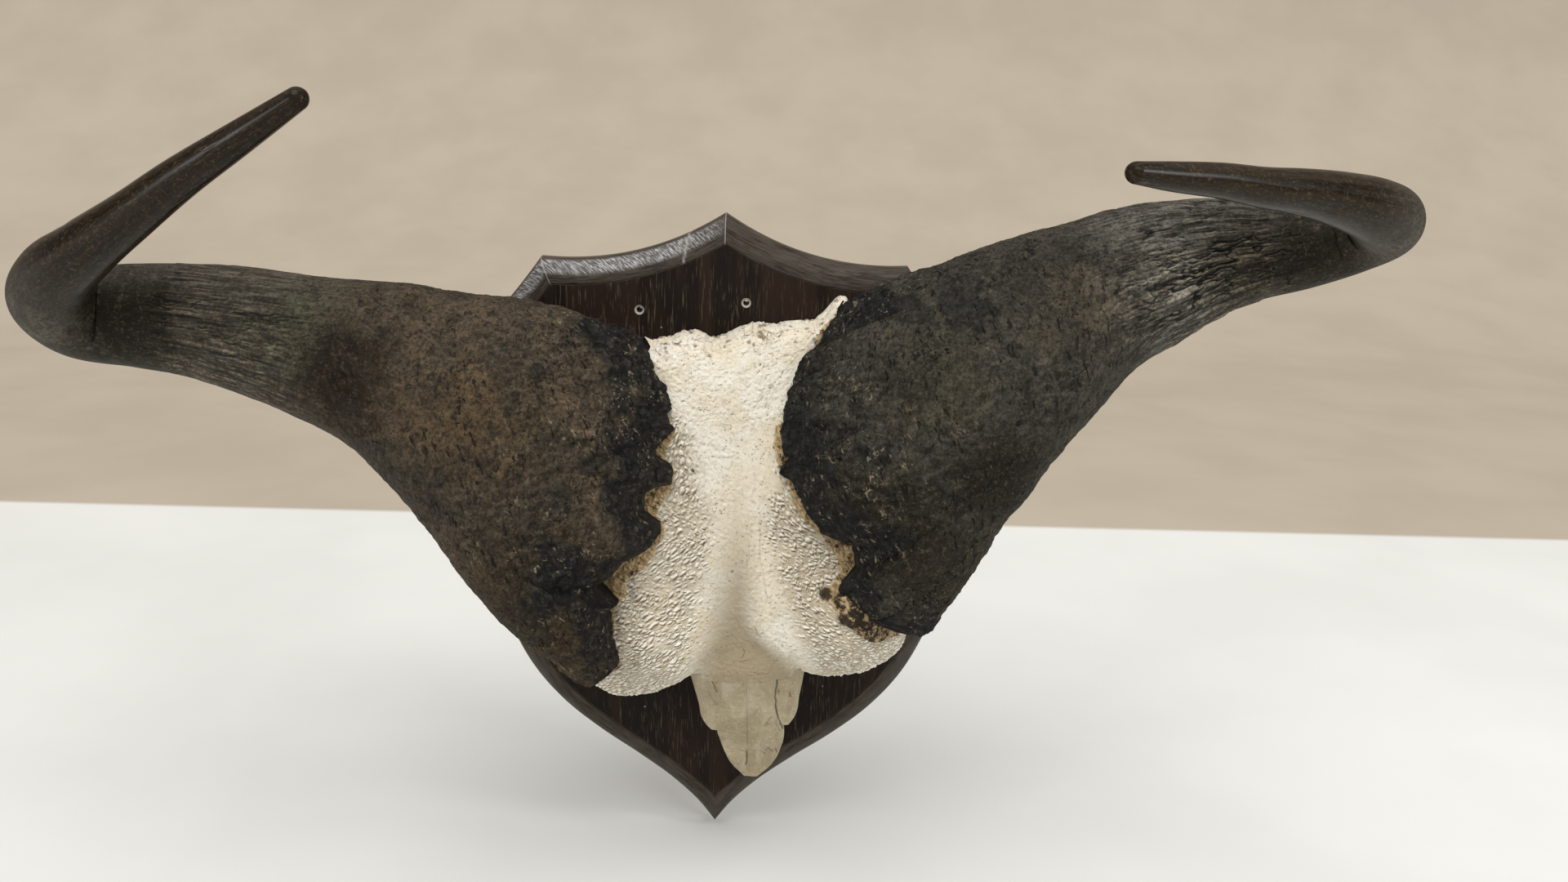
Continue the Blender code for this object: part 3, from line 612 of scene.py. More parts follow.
def horn_look(name, boss_tones, shaft_tones, tints_and_painted_light, roughness_shift):
    """Horn: dusty and rough on the boss, fibrous along the shaft, polished on the hook."""
    look = Look(name, 0.5)
    straight = look.attribute("straight", "Vector")
    along = look.attribute("along")
    edge = look.attribute("edge")
    cavity = look.attribute("cavity")
    wall = look.attribute("wall")
    flake = look.attribute("flake")
    upward = look.attribute("upward")
    boss = look.ramp(along, 0.27, 0.42, 1.0, 0.0)
    hook = look.ramp(along, 0.60, 0.74)
    not_hook = look.math("SUBTRACT", 1.0, hook)

    blotches = look.noise(look.place, 19.0, 5.0, 0.62)
    clouds = look.noise(look.place, 60.0, 6.0, 0.68)
    mottle = look.noise(look.place, 190.0, 7.0, 0.74)
    grain = look.noise(look.place, 430.0, 5.0, 0.70)
    colour = look.mix(look.ramp(blotches, 0.42, 0.58), *boss_tones)
    colour = look.mix(look.ramp(clouds, 0.46, 0.62, 0.0, 0.60), colour, (0.030, 0.025, 0.017))

    fibre_places = look.stretched(straight, (1.0, 1.0, 0.07))
    fibres = look.noise(fibre_places, 400.0, 5.0, 0.70, 0.3)
    shaft = look.mix(look.ramp(fibres, 0.43, 0.57), *shaft_tones)
    shaft = look.mix(look.ramp(clouds, 0.42, 0.64, 0.0, 0.6), shaft, (0.026, 0.021, 0.014))
    shaft = look.mix(look.ramp(along, 0.47, 0.55, 0.0, 0.75), shaft, (0.055, 0.048, 0.037))
    colour = look.mix(boss, shaft, colour)

    streaks = look.noise(look.stretched(straight, (1.0, 1.0, 0.10)), 75.0, 5.0, 0.65, 0.5)
    polished = look.mix(look.ramp(streaks, 0.42, 0.60), (0.0065, 0.0032, 0.0008), (0.0185, 0.0098, 0.0030))
    amber = look.noise(look.stretched(straight, (1.0, 1.0, 0.45)), 300.0, 6.0, 0.75, 0.4)
    polished = look.mix(look.ramp(amber, 0.52, 0.66, 0.0, 0.65), polished, (0.082, 0.054, 0.017))
    colour = look.mix(hook, colour, polished)

    # Each tint multiplies the colour round its centre; besides the horn's own colour, the tables hold painted
    # shade in hollows and under the hooks and painted highlights at the bends
    for centre, reach, tint in tints_and_painted_light:
        uneven = look.times(look.math("SUBTRACT", clouds, 0.5), reach * 2.4)
        away = look.math("ADD", look.distance(look.place, centre), uneven)
        colour = look.mix(look.ramp(away, reach * 0.35, reach * 1.25, 1.0, 0.0), colour, tint, "MULTIPLY")

    patchy = look.ramp(look.noise(look.place, 33.0, 4.0, 0.65), 0.40, 0.60, 0.45, 1.0)
    weathered = look.times(patchy, not_hook)
    dark = look.times(look.ramp(mottle, 0.34, 0.52, 0.80, 0.0), weathered)
    colour = look.mix(dark, colour, (0.010, 0.008, 0.0055))
    dusty = look.times(look.ramp(mottle, 0.52, 0.70, 0.0, 0.45), weathered)
    colour = look.mix(dusty, colour, (0.185, 0.150, 0.106))
    crease_places = look.stretched(look.place, (1.0, 1.0, 0.35), (0.0, -0.35, 0.0))
    creases = look.noise(crease_places, 210.0, 6.0, 0.72, 0.8)
    crease_share = look.times(look.ramp(creases, 0.38, 0.48, 0.65, 0.0), boss)
    colour = look.mix(crease_share, colour, (0.012, 0.009, 0.006))
    colour = look.mix(look.ramp(grain, 0.38, 0.54, 0.55, 0.0), colour, (0.008, 0.007, 0.005))
    colour = look.mix(look.ramp(grain, 0.55, 0.68, 0.0, 0.30), colour, (0.150, 0.125, 0.092))

    # Painted shade with a bluish painted reflection: the band along the sheath's edge, where the horn turns
    # down to the bone, is painted near black
    reach = look.times(look.math("SUBTRACT", blotches, 0.36), 0.17)
    near_edge = look.ramp(look.math("SUBTRACT", edge, reach), -0.008, 0.016, 1.0, 0.0)
    black = look.mix(look.ramp(mottle, 0.46, 0.66), (0.0045, 0.0048, 0.0055), (0.034, 0.034, 0.033))
    colour = look.mix(look.times(near_edge, 0.85), colour, black)
    colour = look.mix(look.times(flake, 0.60), colour, black)

    # Painted light and shade on the relief: facets turned towards the light are painted about twice as light,
    # those turned away much darker, more so off the boss
    relief_share = look.ramp(boss, 0.0, 1.0, 0.80, 0.34)
    lit = look.times(look.ramp(upward, 0.02, 0.34), relief_share)
    colour = look.mix(lit, colour, (2.3, 2.2, 2.05), "MULTIPLY")
    shaded = look.times(look.ramp(upward, -0.36, -0.02, 1.0, 0.0), relief_share)
    colour = look.mix(shaded, colour, (0.22, 0.22, 0.24), "MULTIPLY")

    inner = look.times(look.ramp(edge, 0.015, 0.125, 1.0, 0.0), boss)
    specks = look.cells(look.place, 210.0)
    speck_zones = look.noise(look.place, 46.0, 4.0, 0.65)
    speck_share = look.times(look.ramp(specks, 0.10, 0.26, 0.45, 0.0), look.ramp(speck_zones, 0.52, 0.60))
    crumbs = look.noise(look.stretched(look.place, (1.0, 1.0, 0.55), (0.0, 0.6, 0.0)), 250.0, 5.0, 0.72, 0.5)
    crumb_share = look.times(look.ramp(crumbs, 0.57, 0.66), look.ramp(speck_zones, 0.46, 0.58))
    light = look.math("MAXIMUM", speck_share, crumb_share)
    light = look.times(light, look.math("ADD", look.times(inner, 0.70), 0.08))
    colour = look.mix(light, colour, (0.36, 0.30, 0.20))

    slit_places = look.stretched(look.place, (1.0, 1.0, 0.26), (0.0, 0.30, 0.0))
    slits = look.noise(slit_places, 290.0, 2.0, 0.5, 0.4)
    slit_zones = look.ramp(look.noise(look.place, 24.0, 2.0), 0.38, 0.54)
    slit_share = look.times(look.ramp(slits, 0.33, 0.39, 1.0, 0.0), slit_zones)
    slit_share = look.times(look.times(slit_share, 0.75), boss)
    colour = look.mix(slit_share, colour, (0.002, 0.002, 0.0015))
    # Painted shade in the cracks: the deeper a crack of the relief, the nearer black it is painted
    colour = look.mix(look.ramp(cavity, 0.10, 0.75, 0.0, 0.93), colour, (0.003, 0.0025, 0.002))
    colour = look.mix(look.times(wall, 0.8), colour, (0.010, 0.008, 0.006))

    rough = look.ramp(mottle, 0.3, 0.7, 0.60 + roughness_shift, 0.80 + roughness_shift)
    polish = look.ramp(streaks, 0.3, 0.7, 0.24, 0.36)
    roughness = look.math("ADD", look.times(polish, hook), look.times(rough, not_hook))
    height = look.math("SUBTRACT", look.times(mottle, 1.6), slit_share)
    height = look.math("ADD", height, look.times(grain, 0.7))
    normal = look.bump(look.times(height, boss), 0.0016, 1.0)
    straight_part = look.ramp(along, 0.47, 0.57, 1.0, 0.25)
    fibre_height = look.times(look.times(fibres, not_hook), straight_part)
    normal = look.bump(fibre_height, 0.0013, 1.0, normal)
    look.shader.inputs["Specular IOR Level"].default_value = 0.15
    return look.finish(colour, roughness, normal)


def bone_look():
    """Bleached bone: pitted middle, shaded pebbles, beige hollow and the tan fringe."""
    look = Look("bleached bone", 0.75)
    pebble = look.attribute("pebble")
    shade = look.attribute("shade")
    bank = look.attribute("bank")
    char = look.attribute("char")
    hollow = look.attribute("hollow")
    fringe = look.attribute("fringe")
    crack = look.attribute("crack")
    broken = look.attribute("broken")
    crust = look.attribute("crust")
    patches = look.noise(look.place, 24.0, 5.0, 0.6)
    grain = look.noise(look.place, 520.0, 5.0, 0.70)
    fine_pits = look.noise(look.place, 260.0, 6.0, 0.72)
    colour = look.mix(look.ramp(patches, 0.42, 0.60), (0.900, 0.850, 0.740), (0.840, 0.760, 0.600))
    colour = look.mix(look.ramp(fine_pits, 0.34, 0.46, 0.45, 0.0), colour, (0.60, 0.51, 0.37))
    scratches = look.noise(look.stretched(look.place, (1.0, 1.0, 0.12)), 600.0, 3.0, 0.6)
    colour = look.mix(look.ramp(scratches, 0.58, 0.72, 0.0, 0.35), colour, (0.62, 0.53, 0.38))
    # The hollow painted darker beige: partly stain, partly painted shade
    colour = look.mix(look.times(hollow, 0.94), colour, (0.290, 0.232, 0.142))
    marks = look.noise(look.place, 140.0, 6.0, 0.75)
    colour = look.mix(look.ramp(marks, 0.33, 0.42, 0.45, 0.0), colour, (0.38, 0.30, 0.19))
    colour = look.mix(look.times(bank, 0.88), colour, (0.590, 0.510, 0.372))
    # Painted shade in the gaps between the pebbles
    colour = look.mix(look.ramp(pebble, -1.0, -0.2, 0.35, 0.0), colour, (0.260, 0.205, 0.130))
    colour = look.mix(look.ramp(shade, 0.06, 0.60, 0.0, 0.90), colour, (0.980, 0.940, 0.850))
    colour = look.mix(look.ramp(shade, -0.65, -0.06, 0.88, 0.0), colour, (0.165, 0.125, 0.073))
    crusty = look.times(crust, look.ramp(fine_pits, 0.40, 0.58, 0.95, 0.1))
    colour = look.mix(crusty, colour, (0.260, 0.215, 0.150))
    stains = look.noise(look.place, 85.0, 5.0, 0.65)
    stain_share = look.times(look.ramp(stains, 0.53, 0.66), look.math("ADD", look.times(broken, 0.85), 0.14))
    colour = look.mix(stain_share, colour, (0.20, 0.140, 0.080))
    pits = look.cells(look.place, 300.0)
    pit_zones = look.noise(look.place, 52.0, 3.0)
    pit_share = look.times(look.ramp(pits, 0.08, 0.24, 1.0, 0.0), look.ramp(pit_zones, 0.48, 0.60))
    colour = look.mix(look.times(pit_share, 0.75), colour, (0.16, 0.120, 0.075))
    orange = look.noise(look.stretched(look.place, (1.0, 1.0, 0.4)), 60.0, 5.0, 0.7)
    colour = look.mix(look.ramp(orange, 0.60, 0.72, 0.0, 0.25), colour, (0.56, 0.40, 0.20))
    hairs = look.noise(look.stretched(look.place, (1.0, 1.0, 0.30), (0.0, 0.7, 0.0)), 430.0, 5.0, 0.68, 0.6)
    tan = look.mix(look.ramp(hairs, 0.42, 0.58), (0.340, 0.225, 0.105), (0.700, 0.515, 0.280))
    dark = look.noise(look.place, 150.0, 6.0, 0.74)
    tan = look.mix(look.ramp(dark, 0.36, 0.44, 0.85, 0.0), tan, (0.740, 0.640, 0.450))
    charred = look.math("ADD", dark, look.times(char, 0.085))
    tan = look.mix(look.ramp(charred, 0.54, 0.61, 0.0, 0.95), tan, (0.020, 0.014, 0.009))
    colour = look.mix(fringe, colour, tan)
    colour = look.mix(crack, colour, (0.065, 0.043, 0.025))
    height = look.math("SUBTRACT", look.math("ADD", grain, fine_pits), look.times(pit_share, 0.9))
    smoother = look.math("SUBTRACT", 1.0, look.times(hollow, 0.6))
    normal = look.bump(look.times(height, smoother), 0.0012, 0.85)
    normal = look.bump(look.times(hairs, fringe), 0.0016, 1.0, normal)
    look.shader.inputs["Specular IOR Level"].default_value = 0.30
    return look.finish(colour, look.ramp(grain, 0.3, 0.7, 0.60, 0.80), normal)


def nasal_look():
    """Nasal bone: smooth, pale beige, with fine streaks along its length."""
    look = Look("nasal bone", 0.6)
    crack = look.attribute("crack")
    root = look.attribute("root")
    patches = look.noise(look.place, 34.0, 5.0, 0.6)
    streaks = look.noise(look.stretched(look.place, (1.0, 1.0, 0.07)), 380.0, 5.0, 0.6)
    colour = look.mix(look.ramp(patches, 0.40, 0.60), (0.360, 0.300, 0.188), (0.285, 0.232, 0.137))
    colour = look.mix(look.times(root, 0.75), colour, (0.335, 0.275, 0.175))
    colour = look.mix(look.ramp(streaks, 0.38, 0.54, 0.45, 0.0), colour, (0.27, 0.220, 0.140))
    bleached = look.noise(look.stretched(look.place, (1.0, 1.0, 0.22)), 75.0, 4.0, 0.6, 0.5)
    colour = look.mix(look.ramp(bleached, 0.44, 0.70, 0.0, 0.45), colour, (0.500, 0.440, 0.320))
    grain = look.noise(look.place, 520.0, 5.0, 0.68)
    colour = look.mix(look.ramp(grain, 0.54, 0.70, 0.0, 0.50), colour, (0.62, 0.570, 0.45))
    blemishes = look.noise(look.place, 120.0, 5.0, 0.7)
    colour = look.mix(look.ramp(blemishes, 0.58, 0.68, 0.0, 0.55), colour, (0.22, 0.170, 0.105))
    colour = look.mix(crack, colour, (0.040, 0.026, 0.015))
    normal = look.bump(grain, 0.0005, 0.7)
    normal = look.bump(streaks, 0.0005, 0.7, normal)
    return look.finish(colour, look.ramp(streaks, 0.3, 0.7, 0.48, 0.62), normal)


def oak_look():
    """Dark oak: pores along the grain, greyer and shinier on the moulding, with a painted sheen at its upper
    left.
    """
    look = Look("dark oak", 0.4)
    across = look.attribute("grain", "Vector")
    moulding = look.attribute("moulding")
    painted_sheen = look.attribute("painted_sheen")
    joint_and_crease_highlight = look.attribute("joint_and_crease_highlight")
    rim = look.attribute("rim")
    not_moulding = look.math("SUBTRACT", 1.0, moulding)
    bands = look.noise(look.stretched(look.place, (1.0, 1.0, 0.10)), 26.0, 5.0, 0.6, 1.2)
    pores = look.noise(look.stretched(look.place, (1.0, 1.0, 0.060)), 900.0, 3.0, 0.65)
    field = look.mix(look.ramp(bands, 0.40, 0.60), (0.0065, 0.0034, 0.0020), (0.0190, 0.0095, 0.0055))
    pore_zones = look.noise(look.place, 17.0, 3.0)
    pore_share = look.times(look.ramp(pores, 0.55, 0.66), look.ramp(pore_zones, 0.40, 0.62, 0.15, 0.80))
    field = look.mix(pore_share, field, (0.100, 0.075, 0.050))
    specks = look.cells(look.place, 70.0)
    speck_zones = look.noise(look.place, 20.0, 2.0)
    speck_share = look.times(look.ramp(specks, 0.04, 0.08, 1.0, 0.0), look.ramp(speck_zones, 0.56, 0.64))
    field = look.mix(look.times(speck_share, 0.8), field, (0.45, 0.42, 0.36))
    for x, z in SCREW_HOLES:
        from_hole = look.distance(look.stretched(look.place, (1.0, 0.0, 1.0)), (x, 0.0, z))
        away = look.math("ABSOLUTE", look.math("SUBTRACT", from_hole, HOLE_RING_RADIUS))
        field = look.mix(look.ramp(away, 0.0004, 0.0011, 0.85, 0.0), field, (0.46, 0.43, 0.37))
    strip_places = look.stretched(across, (1.0, 0.055, 1.0))
    strip_pores = look.noise(strip_places, 800.0, 4.0, 0.65)
    strip_patches = look.noise(look.stretched(across, (1.0, 0.30, 1.0)), 90.0, 4.0, 0.65)
    strip = look.mix(look.ramp(strip_pores, 0.40, 0.60), (0.020, 0.014, 0.010), (0.056, 0.044, 0.033))
    strip = look.mix(look.ramp(strip_patches, 0.40, 0.62, 0.0, 0.5), strip, (0.078, 0.066, 0.053))
    strip = look.mix(look.times(rim, 0.7), strip, (0.105, 0.085, 0.062))
    hatch_places = look.stretched(across, (1.0, 0.13, 1.0), (0.0, 0.0, 0.95))
    flecks = look.noise(hatch_places, 950.0, 4.0, 0.66, 0.3)
    # Painted highlight: a silvery sheen down the moulding's roll at the upper left, broken into fine hatch
    # strokes
    painted_sheen_strokes = look.times(look.ramp(flecks, 0.44, 0.62), painted_sheen)
    strip = look.mix(look.times(painted_sheen, 0.55), strip, (0.130, 0.128, 0.130))
    strip = look.mix(look.times(painted_sheen_strokes, 0.80), strip, (0.56, 0.55, 0.56))
    # A pale glue joint across the moulding, with a painted highlight along the mitre creases
    strip = look.mix(look.times(joint_and_crease_highlight, 0.85), strip, (0.46, 0.44, 0.41))
    colour = look.mix(moulding, field, strip)
    pore_height = look.math(
        "SUBTRACT",
        look.times(look.ramp(strip_pores, 0.35, 0.55), moulding),
        look.times(look.ramp(pores, 0.55, 0.70), not_moulding),
    )
    normal = look.bump(pore_height, 0.0003, 0.6)
    normal = look.bump(look.times(flecks, painted_sheen), 0.0006, 0.6, normal)
    rough = look.math("ADD", look.ramp(bands, 0.3, 0.7, 0.62, 0.74), look.times(moulding, -0.22))
    look.shader.inputs["Specular IOR Level"].default_value = 0.16
    return look.finish(colour, rough, normal)


# Horns


def horn_frames(stations, side):
    """Places along a horn and, for each, its core, axes, section sizes and squareness."""
    knots = run_lengths([station[:3] for station in stations])
    places = np.linspace(0.0, knots[-1], HORN_TABLE)
    values = smooth_curve(knots, stations, places)
    core = values[:, :3]
    along = np.gradient(core, places, axis=0)
    along /= np.linalg.norm(along, axis=1)[:, None]
    lean = np.radians(values[:, 5])
    to_midline = side * np.column_stack([np.sin(lean), np.zeros(len(lean)), -np.cos(lean)])
    roundness = np.clip((places / knots[-1] - 0.25) / 0.2, 0.0, 1.0)[:, None]
    height = np.column_stack([np.cos(lean), BOSS_PITCH * (1 - roundness[:, 0]), np.sin(lean)])
    height -= roundness * (height * along).sum(axis=1)[:, None] * along
    height /= np.linalg.norm(height, axis=1)[:, None]
    depth = side * np.cross(height, along)
    depth /= np.linalg.norm(depth, axis=1)[:, None]
    power = 2 / (BOSS_SQUARENESS + (2 - BOSS_SQUARENESS) * roundness)
    return places, along, np.hstack([core, height, depth, to_midline, values[:, [3, 4, 6]], power])


def on_horn(places, frames, where, turn):
    """Points of the smooth horn at places along it (a grid) and turns around it."""
    read = [np.interp(where, places, column) for column in frames.T]
    core, height, depth, to_midline = (np.stack(read[i:i + 3], axis=-1) for i in (0, 3, 6, 9))
    half_height, half_depth, bulge, power = (value[..., None] for value in read[12:])
    cosine, sine = np.cos(turn)[None, :, None], np.sin(turn)[None, :, None]
    up = np.sign(cosine) * np.abs(cosine) ** power
    out = np.sign(sine) * np.abs(sine) ** power
    points = core + half_height * up * height + half_depth * out * depth
    return points + bulge * (1 - up**2) * to_midline, core


def sheath_starts(places, frames, turn, edge, side):
    """Place along the horn, for each turn around it, where the sheath's ragged edge lies."""
    near = places[places < BOSS_SHARE * places[-1]]
    points, _ = on_horn(places, frames, np.repeat(near[:, None], len(turn), axis=1), turn)
    x, z = points[..., 0], points[..., 2]
    flat = np.stack([x, np.full_like(x, side), z], axis=-1)
    ragged = 0.0012 * wander(flat, 0.0060, 3, 3) + 0.0012 * wander(flat, 0.0024, 4, 2)
    inside = side * (edge_x(edge, z) - x) + ragged
    on_bone = inside <= 0
    last = len(near) - 1 - np.argmax(on_bone[::-1], axis=0)
    last[~on_bone.any(axis=0)] = 0
    last = np.minimum(last, len(near) - 2)
    columns = np.arange(len(turn))
    before, after = inside[last, columns], inside[last + 1, columns]
    share = np.clip(-before / np.where(np.abs(after - before) < 1e-9, 1e-9, after - before), 0, 1)
    return near[last] + share * (near[1] - near[0])


def horn_relief(points, straight, along, edge, seed, cracked):
    """Height of the horn's surface detail above the smooth form, and how deep its cracks are."""
    boss = 1 - smooth_step(along, 0.25, 0.42)
    hook = smooth_step(along, 0.48, 0.60)
    shaft = (1 - boss) * (1 - hook)
    rough = (1 - smooth_step(edge, 0.030, 0.120)) * boss
    bumpy = 0.0026 * wander(points, 0.060, seed, 2)
    bumpy += (0.0006 + 0.0009 * rough) * wander(points, 0.015, seed + 1, 3)
    bumpy += (0.0006 + 0.0005 * rough) * wander(points, 0.0052, seed + 2, 4)
    plates = plate_steps(points + 0.003 * wander(points, 0.008, seed + 3, 2)[..., None], 0.010, seed)
    bumpy += (0.00022 + 0.00055 * rough) * plates
    ribs = wander(straight, np.array([0.0032, 0.0032, 0.030]), seed + 4, 2)
    bumpy += 0.0004 * rough * ribs
    zones = smooth_step(wander(points, 0.030, seed + 5, 2), -0.05, 0.35)
    cracks = crack_lines(points, np.array([0.016, 0.016, 0.024]), seed + 6, 0.030) * zones
    bumpy -= 0.0012 * cracks

    fibres = wander(straight, np.array([0.0040, 0.0040, 0.050]), seed + 7, 3)
    ripples = wander(straight, np.array([0.011, 0.011, 0.030]), seed + 8, 3)
    wavy = straight + 0.004 * wander(straight, 0.025, seed + 9, 2)[..., None]
    gaps = crack_lines(wavy, np.array([0.0085, 0.0085, 0.040]), seed + 10, 0.10)
    small = crack_lines(wavy, np.array([0.0045, 0.0045, 0.020]), seed + 11, 0.14)
    gap_zones = smooth_step(wander(straight, np.array([0.030, 0.030, 0.060]), seed + 12, 2), -0.2, 0.25)
    small_zones = smooth_step(wander(straight, np.array([0.020, 0.020, 0.040]), seed + 13, 2), -0.1, 0.3)
    split = np.clip(gaps * gap_zones + 0.6 * small * small_zones, 0.0, 1.0) * cracked
    fibrous = 0.0007 * fibres + (0.0008 + 0.0010 * cracked) * ripples - 0.0022 * split

    soft = 0.0006 * wander(straight, np.array([0.020, 0.020, 0.090]), seed + 14, 2)
    soft += 0.0007 * wander(straight, np.array([0.016, 0.016, 0.034]), seed + 17, 2)
    height = boss * bumpy + shaft * fibrous + hook * soft
    return height, boss * 0.85 * cracks + shaft * 0.9 * split


def fill_fold(points, core, along):
    """Rounds the crease on the inside of the tight bend, and moves nothing inwards."""
    reach = round(FOLD_REACH * len(points))
    weights = np.hanning(2 * reach + 3)[1:-1]
    weights /= weights.sum()
    padded = np.concatenate([points[:1].repeat(reach, 0), points, points[-1:].repeat(reach, 0)])
    soft = sum(weight * padded[i:i + len(points)] for i, weight in enumerate(weights))
    out = points - core
    out /= np.maximum(np.linalg.norm(out, axis=2), 1e-9)[..., None]
    gain = ((soft - points) * out).sum(axis=2)
    bend = smooth_step(along, 0.44, 0.52) * (1 - smooth_step(along, 0.74, 0.82))
    share = smooth_step(gain, 0.0, 0.0015) * bend
    return points + share[..., None] * (soft - points)


def make_horn(name, shape, seed, material):
    """One horn sheath: dense loft from its ragged edge on the bone to its round tip."""
    stations, side, cracked = shape["stations"], shape["side"], shape["cracked"]
    places, along_ways, frames = horn_frames(stations, side)
    length = places[-1]
    step = 2 * pi * np.arange(HORN_COLUMNS) / HORN_COLUMNS
    turn = step + FRONT_DENSITY * (np.cos(step) - 1)
    starts = sheath_starts(places, frames, turn, shape["edge"], side)
    even = circular_mean(starts, round(HORN_COLUMNS * EDGE_EVENNESS))
    down = np.linspace(0.0, 1.0, HORN_ROWS)[:, None] ** ROW_CROWDING
    smooth = even + (length - even) * down
    where = smooth + (starts - even) * (1 - smooth_step(smooth - even, 0.0, 0.055))
    where = np.maximum.accumulate(where, axis=0)
    points, core = on_horn(places, frames, where, turn)
    edge_distance = where - starts
    rim = -by_height(shape["edge_depth"], points[..., 2])
    lift = np.sqrt(1 - (1 - np.clip(edge_distance / EDGE_TAPER, 0.0, 1.0)) ** 2)
    in_front = points[..., 1] < rim
    points[..., 1] = np.where(in_front, rim + (points[..., 1] - rim) * lift, points[..., 1])
    along = where / length
    points = fill_fold(points, core, along)
    normals = grid_normals(points)
    outward = np.sign((normals * (points - core)).sum(axis=2).mean())
    normals *= outward
    around = np.stack([np.cos(turn), np.sin(turn)], axis=-1)
    straight = np.concatenate(
        [np.broadcast_to(STRAIGHT_RADIUS * around, (*where.shape, 2)), where[..., None]], axis=2
    )
    height, cavity = horn_relief(points, straight, along, edge_distance, seed, cracked)
    height *= 0.25 + 0.75 * smooth_step(edge_distance, 0.0, 0.006)
    facing = smooth_step(-normals[..., 1], 0.1, 0.5)
    x, z = points[..., 0], points[..., 2]
    height += facing * spots(x, z, shape["spots"])
    flake = np.zeros_like(x)
    for flake_x, flake_z, across, up, rise in shape["flakes"]:
        away = np.hypot((x - flake_x) / across, (z - flake_z) / up)
        away += 0.5 * wander(points, 0.012, seed + 15, 3)
        plate = facing * (1 - smooth_step(away, 0.86, 1.0))
        height += rise * plate
        flake = np.maximum(flake, plate)
    ceiling = np.where(along > 0.5, -0.0004, 0.01)
    height = np.minimum(height, ceiling)
    points = points + normals * height[..., None]
    # Painted light: how far the relief turns each point towards the light, which the horn's colour reads to
    # paint it lighter or darker
    upward = (outward * grid_normals(points) - normals) @ PAINTED_LIGHT_WAY

    centre = points[-1].mean(axis=0)
    reach = TIP_LENGTH * stations[-1][3]
    turns = pi / 2 * np.arange(1, TIP_ROWS) / TIP_ROWS
    tip_way = along_ways[-1]
    tip = np.stack([centre + (points[-1] - centre) * cos(t) + tip_way * reach * sin(t) for t in turns])
    first = points[0]
    shares = (np.arange(WALL_ROWS, 0, -1) / WALL_ROWS)[:, None]
    wall = np.repeat(first[None], WALL_ROWS, axis=0)
    wall[..., 1] = first[:, 1] + (WALL_PLANE - first[:, 1]) * shares
    frayed = wander(wall * np.array([1.0, 0.35, 1.0]), 0.0035, seed + 16, 3)
    back = np.abs(wall[..., 1] - first[:, 1])
    lowest = 1 - smooth_step(first[:, 2] - first[:, 2].min(), 0.0, 0.025)
    wall[..., 0] -= side * (0.0012 * frayed + (0.10 - 0.70 * lowest) * back)
    wall[..., 2] += 0.30 * lowest * back

    rows = np.concatenate([wall, points, tip])
    vertices = np.vstack([rows.reshape(-1, 3), centre + tip_way * reach])
    faces = grid_faces(len(rows), HORN_COLUMNS)
    pole = len(vertices) - 1
    last = (len(rows) - 1) * HORN_COLUMNS
    for i in range(HORN_COLUMNS):
        faces.append([last + i, last + (i + 1) % HORN_COLUMNS, pole])
    for i in range(HORN_COLUMNS // 2):
        corners = [i, i + 1, HORN_COLUMNS - i - 1, (HORN_COLUMNS - i) % HORN_COLUMNS]
        faces.append(list(dict.fromkeys(corners)))

    def column(before, main, after):
        grid = np.concatenate([
            np.broadcast_to(before, (WALL_ROWS, *main.shape[1:])),
            main,
            np.broadcast_to(after, (len(tip), *main.shape[1:])),
        ])
        flat = grid.reshape(-1, *main.shape[2:])
        return np.concatenate([flat, flat[-1:]])

    attributes = {
        "straight": column(straight[0], straight, straight[-1]),
        "along": column(along[0], along, along[-1]),
        "edge": column(edge_distance[0], edge_distance, edge_distance[-1]),
        "cavity": column(cavity[0], cavity, cavity[-1]),
        "flake": column(flake[0], flake, flake[-1]),
        "upward": column(0.0, upward, 0.0),
        "wall": column(1.0, np.zeros_like(along), 0.0),
    }
    node = "horn_left" if side > 0 else "horn_right"
    return add_piece(name, vertices, faces, attributes, material, [node])


# Frontal bone


def frontal_depth(x, z):
    """Distance of the bone's front from the wall, before its edges are rounded."""
    heights, depths = zip(*FRONTAL_PROFILE)
    flat = z.ravel()
    depth = smooth_curve(heights, np.array(depths)[:, None], flat)[:, 0].reshape(z.shape)
    for lobe_x, lobe_z, rise in BROW_LOBES:
        away = ((x - lobe_x) ** 2 + (z - lobe_z) ** 2) / BROW_LOBE_RADIUS**2
        depth = depth + rise * np.exp(-away)
    return depth


def hollow_share(x, z, softness=0.0):
    """1 in the smooth hollow between the brow lobes, 0 outside it."""
    left, right = by_height(HOLLOW_LEFT, z), by_height(HOLLOW_RIGHT, z)
    share = smooth_step(x - left, -0.012 - softness, 0.015 + softness)
    return share * smooth_step(right - x, -0.006 - softness / 2, 0.017)


def bank_share(x, z):
    """How far a point lies on the left and on the right pebbled bank."""
    left = smooth_step(by_height(LEFT_BANK, z) - x, -0.012, 0.011)
    right = smooth_step(x - by_height(RIGHT_BANK, z), -0.013, 0.012)
    lower = 1 - smooth_step(z, 0.128, 0.150)
    return left * lower, right * (1 - smooth_step(z, 0.118, 0.140))


def pebbles(x, z, turn, length, width, seed):
    """Rounded bumps, longer than wide, in rows turned by an angle: -1 between, 1 on top."""
    u = x * cos(turn) + z * sin(turn)
    v = -x * sin(turn) + z * cos(turn)
    places = np.stack([u / length, v / width, np.zeros_like(u)], axis=-1)
    places = places + 0.70 * wander(places, 1.9, seed, 3)[..., None]
    near, far = cell_distances(places, 1.0, seed)
    return np.clip((far - near) * 3.0 - 1.0, -1.0, 1.0)


